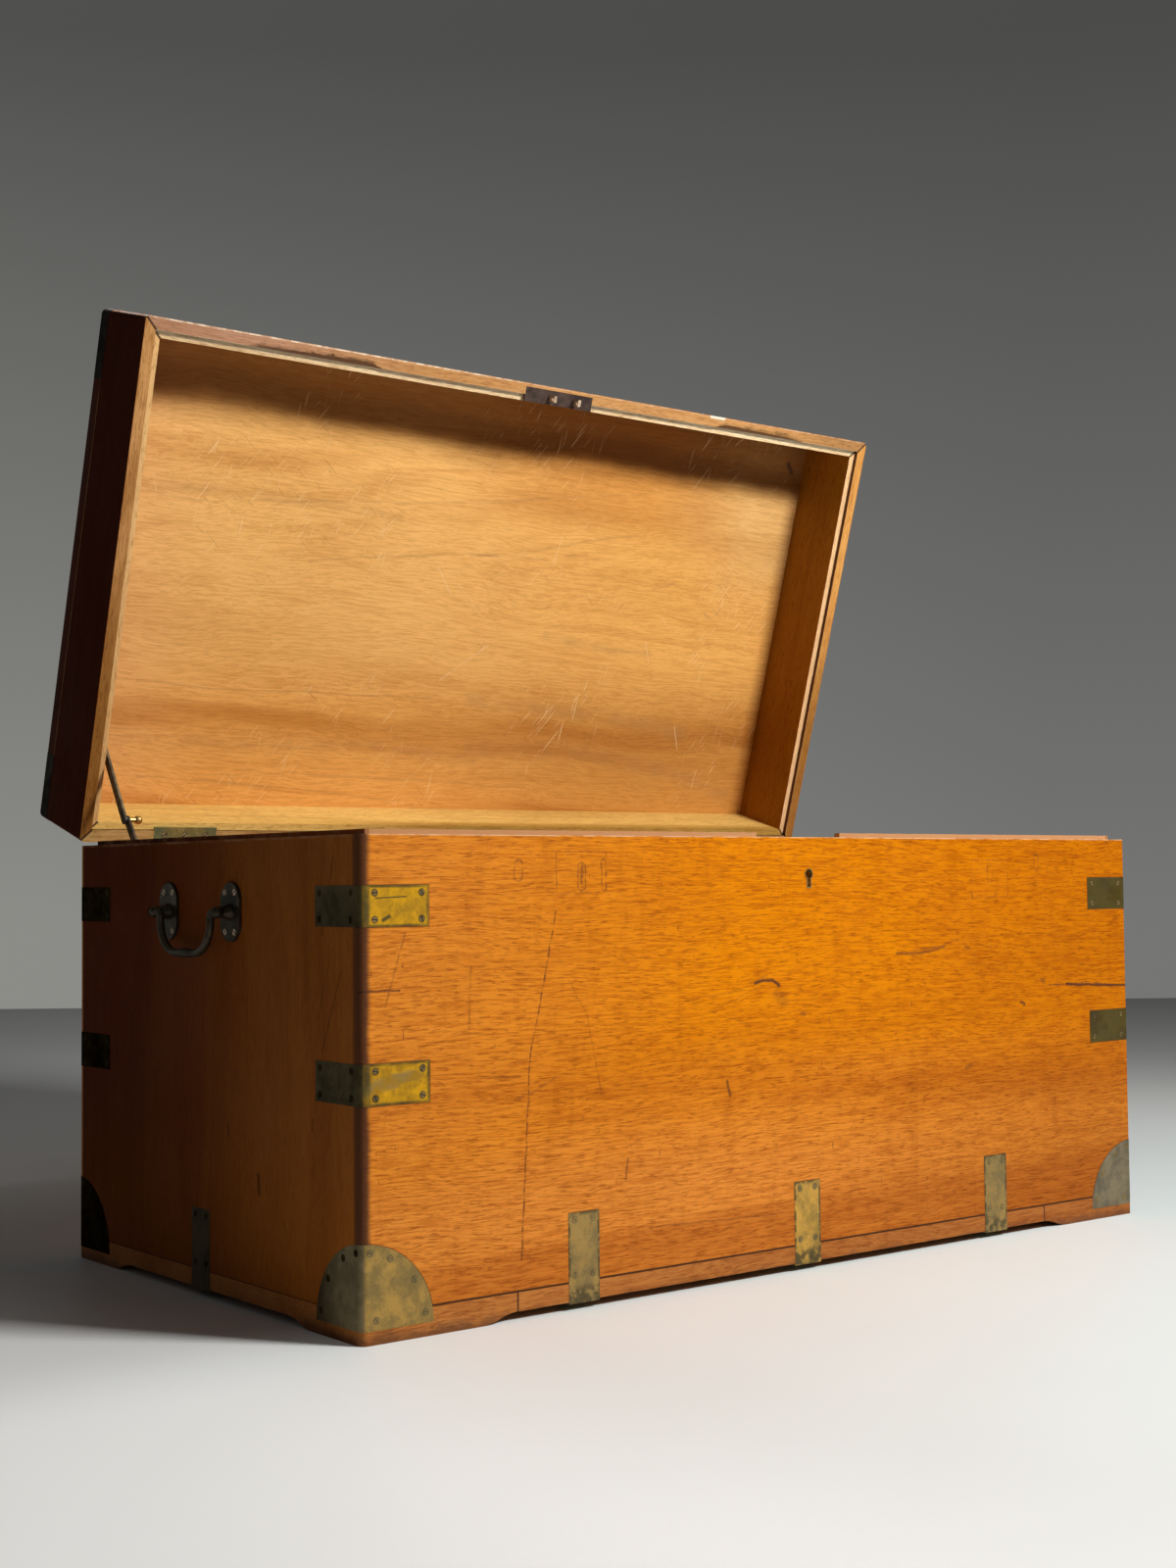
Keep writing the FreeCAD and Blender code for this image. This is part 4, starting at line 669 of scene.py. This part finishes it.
def old_tint(shade, where):
    """The brasses low on the chest: dull brown gold in front, nearly black on the ends."""
    x, y, z = shade.split(where)
    away, front, side = shade.size(x), on_front(shade, y), shade.ramp(y, -0.19, -0.24)
    outer, corner, right = shade.ramp(away, 0.12, 0.16), shade.ramp(away, 0.4, 0.42), shade.ramp(x, 0.3, 0.4)
    sides = ((BASE_HALF - 2.6) * MM, (BASE_HALF - 0.6) * MM), (0.021, 0.019)
    borders = [shade.ramps(shade.off(x, middle * MM), *sides) for middle in BASE_X]
    ends = shade.most(shade.ramp(z, BASE_TOP * MM - 0.004, BASE_TOP * MM), shade.ramp(z, 0.026, 0.014))
    borders.append(shade.times(ends, shade.ramp(away, 0.35, 0.33)))
    worn = shade.ramp(shade.noise(where, 120, 3), 0.36, 0.56)
    darker_edges = shade.times(shade.most(*borders), front, worn, 0.9)
    finishes = []
    for inner_strap, outer_strap, left_corner, right_corner, dirt, end_back, end_front in (
            ((0.6, 0.335, 0.06), (0.37, 0.235, 0.068), (0.44, 0.27, 0.065), (0.235, 0.185, 0.105),
             (0.085, 0.068, 0.03), (0.07, 0.042, 0.012), (0.25, 0.19, 0.095)),
            ((0.33, 0.205, 0.045), (0.21, 0.15, 0.058), (0.23, 0.16, 0.052), (0.13, 0.108, 0.07),
             (0.06, 0.048, 0.022), (0.034, 0.022, 0.007), (0.15, 0.115, 0.055))):
        color = shade.mix(outer, inner_strap, outer_strap)
        color = shade.mix(corner, color, shade.mix(right, left_corner, right_corner))
        color = shade.mix(darker_edges, color, dirt)
        finishes.append(shade.mix(front, shade.mix(side, end_back, end_front), color))
    return finishes


def hinge_tint(shade, where):
    """Olive in the middle of the left hinge, green at its ends and on the other hinges."""
    x = shade.split(where)[0]
    off = shade.size(shade.math("ADD", x, (HALF_W - HINGE_INSET) * MM))
    middle = shade.ramp(shade.sum((off, 1.0), (shade.noise(where, 50, 3), 0.02)), 0.045, 0.025)
    olive = shade.mix(middle, (0.2, 0.22, 0.1), (0.38, 0.29, 0.1))
    bright = shade.fade(x, -0.2, -0.3, (0.15, 0.21, 0.12), olive)
    return bright, shade.scaled(bright, (0.55, 0.6, 0.6))


def lock_tint(shade, where):
    """Dark grey plates, and brighter hooks below the rim."""
    below_rim = shade.ramp(shade.split(where)[2], RIM_Z - 0.0001, RIM_Z - 0.0006)
    return (shade.mix(below_rim, (0.095, 0.062, 0.048), (0.85, 0.64, 0.44)),
            shade.mix(below_rim, (0.038, 0.023, 0.018), (0.38, 0.27, 0.175)))


# ---- pieces
def mesh_piece(name, mesh, body, materials, node):
    """Turn a bmesh into a piece that rides on a body and may stand for a CAD node."""
    data = bpy.data.meshes.new(name)
    mesh.to_mesh(data)
    mesh.free()
    for material in materials:
        data.materials.append(material)
    item = add_object(name, data)
    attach(item, body)
    if node:
        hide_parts(node)


def node_mesh(node):
    mesh = bmesh.new()
    mesh.from_mesh(NODES[node].data)
    bmesh.ops.remove_doubles(mesh, verts=mesh.verts, dist=1e-6)
    return mesh


def mesh_cut(mesh, x):
    """Cut a mesh across at a place along x, keeping both sides."""
    everything = mesh.verts[:] + mesh.edges[:] + mesh.faces[:]
    bmesh.ops.bisect_plane(mesh, geom=everything, dist=1e-7, plane_co=(x * MM, 0, 0), plane_no=(1, 0, 0))


def chipped_rail(material):
    """The front rail of the lid, with the inner edge of its lip broken away along two stretches."""
    mesh = node_mesh("lid_rail_front")
    depths = {}
    for start, end, deep in CHIPS:
        parts = len(deep) + 1
        known = (0.0, *deep, 0.0, 0.0)
        steps = 4 * parts
        for index in range(steps + 1):
            share = index / steps * parts
            low = int(share)
            depth = known[low] + (known[low + 1] - known[low]) * (share - low)
            ends = index in (0, steps)
            x = start + (end - start) * index / steps + (0 if ends else random.uniform(-0.8, 0.8))
            depths[x] = 0.0 if ends else depth + random.uniform(-0.8, 0.8)
            mesh_cut(mesh, x)
    lips = [on_lid(0, -LIP_Y / MM, up / MM) for up in (RIM_Z, LIP_Z)]
    outward = on_lid(0, -1, 0) - on_lid(0, 0, 0)
    for vert in mesh.verts:
        if min(((vert.co - lip) * Vector((0, 1, 1))).length for lip in lips) < 0.0002:
            x = min(depths, key=lambda place: abs(place - vert.co.x / MM))
            if abs(x - vert.co.x / MM) < 0.01:
                vert.co += outward * depths[x]
    bmesh.ops.triangulate(mesh, faces=mesh.faces)
    bmesh.ops.recalc_face_normals(mesh, faces=mesh.faces)
    mesh_piece("chipped_lid_rail_front", mesh, "lid", (material,), "lid_rail_front")


def screw_places(node):
    """The middle of each head's outer face, and the way it looks, for the screws of a node."""
    mesh = node_mesh(node)
    mesh.verts.ensure_lookup_table()
    places, left = [], set(range(len(mesh.verts)))
    while left:
        start = min(left)
        left.remove(start)
        group, edge = [], [start]
        while edge:
            vert = mesh.verts[edge.pop()]
            group.append(vert.co.copy())
            near = {link.other_vert(vert).index for link in vert.link_edges} & left
            left -= near
            edge += sorted(near)
        middle = sum(group, Vector()) / len(group)
        offs = [point - middle for point in group]
        axis = max(offs, key=lambda off: off.length).normalized()
        for _ in range(25):
            axis = sum((off * off.dot(axis) for off in offs), Vector()).normalized()
        wide = max(offs, key=lambda off: (off - axis * off.dot(axis)).length)
        axis = axis if wide.dot(axis) > 0 else -axis
        places.append((middle + axis * max(off.dot(axis) for off in offs), axis))
    mesh.free()
    return places


def slotted_screws(name, body, places, radius, below, materials, node=None):
    """Heads slotted down to the surface round them. below gives the rings from there on, as (reach, depth)."""
    mesh = bmesh.new()
    steps, half = 12, 0.19  # faces round each half of a head; the slot's half width, an angle
    angles = [half + (math.pi - 2 * half) * index / steps for index in range(steps + 1)]
    angles += [math.pi + angle for angle in angles]
    count = len(angles)

    def ring(middle, one, two, out, reach, down):
        """The corners of both halves of a head at one depth, about its middle."""
        return [mesh.verts.new(middle + (one * (math.cos(angle) * reach) + two * (math.sin(angle) * reach)
                                         - out * down) * MM) for angle in angles]

    for middle, out in places:
        one = Matrix.Rotation(random.uniform(0, math.pi), 3, out) @ out.orthogonal().normalized()
        axes = (middle, one, out.cross(one), out)
        top, rim = ring(*axes, radius, 0.0), ring(*axes, radius, below[0][1])
        for first, last in ((0, steps), (steps + 1, count - 1)):
            mesh.faces.new(top[first:last + 1])
            mesh.faces.new((top[last], top[first], rim[first], rim[last])).material_index = 1
            for index in range(first, last):
                mesh.faces.new((top[index], top[index + 1], rim[index + 1], rim[index]))
        mesh.faces.new((rim[0], rim[steps], rim[steps + 1], rim[-1])).material_index = 1
        for number, (reach, down) in enumerate(below):
            lower = ring(*axes, reach, down)
            for index in range(count):
                after = (index + 1) % count
                face = mesh.faces.new((rim[index], rim[after], lower[after], lower[index]))
                face.material_index = int(number == 0)
            rim = lower
        mesh.faces.new(rim)
    bmesh.ops.recalc_face_normals(mesh, faces=mesh.faces)
    mesh_piece(name, mesh, body, materials, node)


def brass_screws():
    """The small screws that hold the brasses: at the corners of each leg and round the arcs.

    Those of the front and back are (x, z). Those of the ends are (side, y, z).
    """
    front, ends = [], []
    in_x, in_z = 7.0, 6.0
    for low in STRAP_LOWS:
        for z in (low + in_z, low + STRAP_WIDE - in_z):
            for side in (-1, 1):
                front += [(side * (HALF_W - LEG_FRONT + in_x), z), (side * (HALF_W - in_x - 7), z)]
                ends += [(side, way * (HALF_D - LEG_END + in_x), z) for way in (-1, 1)]
                ends += [(side, way * (HALF_D - in_x - 7), z) for way in (-1, 1)]
    arc = CORNER_REACH - 7.0
    for side in (-1, 1):
        for angle in (8, 36, 64, 88):
            across, up = arc * math.cos(math.radians(angle)), arc * math.sin(math.radians(angle))
            front.append((side * (HALF_W - max(across, 8)), CORNER_LOW + max(up, 6)))
            ends += [(side, way * (HALF_D - max(across, 8)), CORNER_LOW + max(up, 6)) for way in (-1, 1)]
        front.append((side * (HALF_W - 14), CORNER_LOW + 8))
    for x in BASE_X:
        front += [(x + across, z) for across in (-10, 10) for z in (BASE_TOP - 6, BASE_FOOT)]
    for side in (-1, 1):
        ends += [(side, 7 + across, z) for across in (-10, 10) for z in (BASE_TOP - 11, BASE_FOOT)]
    return front, ends


def add_screws(finishes):
    """The small screws of the brasses, and slotted heads in place of the CAD's screws."""
    dark = metal("screw_brass", (0.1, 0.07, 0.03), (0.26, 0.17, 0.05), 0.4)
    dirt = metal("screw_dirt", (0.02, 0.015, 0.01), (0.035, 0.026, 0.016), 0.7, 0.0)
    faint = metal("faint_screw_brass", (0.19, 0.14, 0.055), (0.3, 0.2, 0.07), 0.5)
    faint_dirt = metal("faint_screw_dirt", (0.12, 0.09, 0.04), (0.17, 0.125, 0.055), 0.7, 0.0)
    night = metal("dark_screw_brass", (0.022, 0.016, 0.008), (0.06, 0.042, 0.018), 0.6, 0.1, gloss=0.0)
    front, ends = brass_screws()
    radius, ring, high = 2.6, 3.2, 0.3  # of the heads, the dirt round them, and how far they stand out
    below = [(ring, high - 0.03), (ring, high + 0.5)]
    depth, width = HALF_D + PROUD + high, HALF_W + PROUD + high
    backs = [(x, z) for x, z in front if z > 100 or abs(x) > 400]
    rows = [("front_high", (0, -1, 0), [(x, -depth, z) for x, z in front if z > 100], (dark, dirt)),
            ("front_low", (0, -1, 0), [(x, -depth, z) for x, z in front if z < 100], (faint, faint_dirt)),
            ("back", (0, 1, 0), [(x, depth, z) for x, z in backs], (night, dirt))]
    rows += [(name, (side, 0, 0), [(side * width, y, z) for way, y, z in ends if way == side], (night, night))
             for side, name in ((-1, "left"), (1, "right"))]
    for name, out, spots, finish in rows:
        places = [(on_case(*spot), Vector(out)) for spot in spots]
        slotted_screws("strap_screws_" + name, "case", places, radius, below, finish)
    # the heads of the CAD's screws stand out of the metal, in a ring of dirt
    proud, margin = 0.12, 0.6
    # head's radius and depth, shank's radius and end
    large, small = (2.9, 1.4, 1.4, 13.4), (2.2, 1.1, 1.1, 10.1)
    for node, body, finish, (radius, head, shank, long) in (
            ("hinge_screws_case", "case", "hinge", large), ("hinge_screws_lid", "lid", "hinge", large),
            ("handle_screws", "case", "iron", large), ("fixing_screws_case", "case", "iron", small),
            ("fixing_screws_lid", "lid", "iron", small)):
        ring = radius + margin
        below = [(ring, proud - 0.03), (ring, head), (shank, head + proud), (shank, long + proud)]
        places = [(middle + out * proud * MM, out) for middle, out in screw_places(node)]
        slotted_screws("slotted_" + node, body, places, radius, below, (finishes[finish], dirt), node)


# ---- finishes of the nodes
def paint(heads, material):
    """Give a material to all nodes whose names start with one of some words."""
    for name, node in NODES.items():
        if name.startswith(heads):
            for slot in node.material_slots:
                slot.material = material
            if not node.material_slots:
                node.data.materials.append(material)


def dress_nodes():
    """Paint the nodes, special ones after the rest of their kind, and return the screw heads' finishes."""
    paint("front_board", wood(
        "front_wood", seed=2.0, bands=front_bands, streaks=0.16, fine=0.75, flecks=0.6, gloss=0.06,
        wander=0.035, heart=(-51, 274, 0.1), tint=front_tint, marks=front_marks))
    paint("back_board", wood("back_wood", seed=7.0, bands=0.5, tint=back_tint))
    paint(("left_board", "right_board"), wood(
        "end_wood", "z", seed=5.0, bands=0.5, fine=0.4, flecks=0.3, gloss=0.03, wander=0.09,
        heart=(150, -60, 0.2), tint=end_tint, marks=end_marks))
    paint("bottom_board", wood("bottom_wood", base=(0.62, 0.38, 0.19), seed=3.0, roughness=0.6))
    paint(("plinth", "foot"), wood(
        "plinth_wood", base=(0.5, 0.185, 0.04), seed=9.0, bands=0.6, fine=0.8, marks=plinth_marks))
    paint("lid_panel", wood(
        "lid_wood", lid=True, seed=12.0, bands=panel_bands, fine=0.42, flecks=0.14, roughness=0.6, wander=0.075,
        heart=(560, -40, 0.13), tint=panel_tint, marks=panel_marks))
    rail_wood = wood("lid_rail_wood", lid=True, seed=15.0, tint=rail_tint, marks=rail_marks)
    paint(("lid_rail_front", "lid_rail_back"), rail_wood)
    for side, seed, gloss in (("right", 18.0, 0.1), ("left", 21.0, 0.02)):
        paint("lid_rail_" + side, wood("lid_%s_wood" % side, "y", lid=True, seed=seed, bands=0.3, fine=0.3,
                                       gloss=gloss, tint=side_rail_tint, marks=side_rail_marks))
    paint("edge_straps", metal("strap_brass", (0.16, 0.12, 0.05), gloss=0.08, tint=strap_tint))
    paint(("corner_brass", "base_strap"), metal("old_brass", (0.2, 0.145, 0.055), tint=old_tint))
    paint(("edge_straps_back", "corner_brass_back"),
          metal("dark_brass", (0.01, 0.006, 0.002), (0.034, 0.022, 0.008), 0.6, 0.0, 0.0))
    paint("lid_brass", metal(
        "cap_brass", (0.01, 0.007, 0.005), (0.026, 0.018, 0.01), lid=True, metallic=0.1, gloss=0.04))
    paint("handle", metal("handle_metal", (0.026, 0.02, 0.013), (0.085, 0.066, 0.042), 0.34, 0.75))
    paint("hinge", metal("hinge_brass", (0.12, 0.12, 0.05), lid=True, tint=hinge_tint))
    heads = metal("hinge_screw_brass", (0.24, 0.19, 0.1), (0.62, 0.5, 0.26), 0.4, 0.6)
    paint("stay", metal("stay_metal", (0.05, 0.042, 0.03), (0.2, 0.15, 0.08), 0.32))
    paint(("stay_knob", "keyhole_liner"),
          metal("bright_brass", (0.55, 0.38, 0.12), (0.9, 0.68, 0.28), 0.25, 0.85, patina=0.2))
    iron = metal("grey_iron", (0.04, 0.026, 0.02), roughness=0.5, lid=True, tint=lock_tint)
    paint("lock", iron)
    chipped_rail(rail_wood)
    return {"hinge": heads, "iron": iron}


# ---- floor and light
def add_floor():
    """A pale floor that ends where the wall begins, well behind the chest: cooler near the chest, darker far to
    the right as painted shade, and with a painted glow at the front left that only the camera sees.
    """
    shade = Shader("pale_floor")
    where = shade.place()
    x, y, _ = shade.split(where)
    color = shade.mix(shade.noise(where, 2.2, 5), (0.9, 0.9, 0.87), (0.96, 0.96, 0.93))
    nearness = shade.ramp(shade.vector("DISTANCE", where, (0.5, -0.4, 0)), 1.4, 0.3)
    color = shade.stain(nearness, color, (0.83, 0.9, 0.91))
    # painted shade: the floor darkens far to the right
    color = shade.stain(shade.ramp(x, 1.0, 2.4, 0, 0.8), color, (0.62, 0.62, 0.62))
    material = shade.finish(color, 0.55, gloss=0.3)
    # a painted pool of light: a glow on the floor at the front left, for camera rays only
    seen = shade.node("ShaderNodeLightPath").outputs["Is Camera Ray"]
    pale = shade.times(seen, shade.ramp(x, -0.32, -0.7), shade.ramp(y, -0.13, -0.34), 0.13)
    shade.feed(shade.surface.inputs["Emission Color"], (1.0, 1.0, 0.97))
    shade.feed(shade.surface.inputs["Emission Strength"], pale)
    mesh = bpy.data.meshes.new("floor")
    ahead = Vector((math.sin(CAMERA_YAW), math.cos(CAMERA_YAW), 0))
    far, near, half = ahead * 4.0, ahead * -10.0, CAMERA_LEVEL * 12.0
    mesh.from_pydata([near - half, near + half, far + half, far - half], [], [(0, 1, 2, 3)])
    mesh.materials.append(material)
    floor = add_object("floor", mesh)


def add_lamp(name, place, target, size, power):
    data = bpy.data.lights.new(name, "AREA")
    data.size, data.energy = size, power
    lamp = add_object(name, data)
    lamp.location = place
    lamp.rotation_euler = (Vector(target) - Vector(place)).to_track_quat("-Z", "Y").to_euler()
    return lamp


def spare_floor(lamp):
    """Let a lamp light the chest alone, so that the floor keeps the shadow of the lamps in front."""
    unlit = bpy.data.collections.new(lamp.name + "_unlit")
    unlit.objects.link(bpy.data.objects["floor"])
    unlit.collection_objects[0].light_linking.link_state = "EXCLUDE"
    lamp.light_linking.receiver_collection = unlit


def add_world():
    """A grey wall, darkest high up on the right and palest low on the left, and a dim even light."""
    shade = Shader("studio", bpy.data.worlds)
    bpy.context.scene.world = shade.owner
    ahead = shade.node("ShaderNodeTexCoord").outputs["Generated"]
    down, left = (shade.ramp(shade.vector("DOT_PRODUCT", ahead, axis), low, high, kind="LINEAR")
                  for axis, low, high in (((0, 0, 1), 0.38, -0.02), (CAMERA_LEVEL, 0.22, -0.26)))
    wall = shade.mix(down, shade.mix(left, (0.07, 0.071, 0.068), (0.08, 0.081, 0.077)),
                     shade.mix(left, (0.178, 0.181, 0.175), (0.262, 0.265, 0.245)))
    rays = shade.node("ShaderNodeLightPath").outputs
    seen = shade.most(*[rays[name] for name in ("Is Camera Ray", "Is Glossy Ray", "Is Transmission Ray")])
    shade.feed(shade.surface.inputs["Color"], shade.mix(seen, (0.05, 0.05, 0.05), wall))
    shade.feed(shade.surface.inputs["Strength"], 1.0)


add_camera()
add_screws(dress_nodes())
add_floor()
add_lamp("key", on_case(700, -1800, 1750), (0.0, -0.1, 0.35), 0.5, 60)
add_lamp("overhead", (1.2, -1.6, 3.6), (0.2, -0.6, 0.0), 1.8, 16)
spare_floor(add_lamp("behind", (0.8, 2.6, 3.4), (0.0, 0.2, 0.4), 2.0, 45))
add_world()

bpy.context.scene.view_settings.view_transform = "Standard"
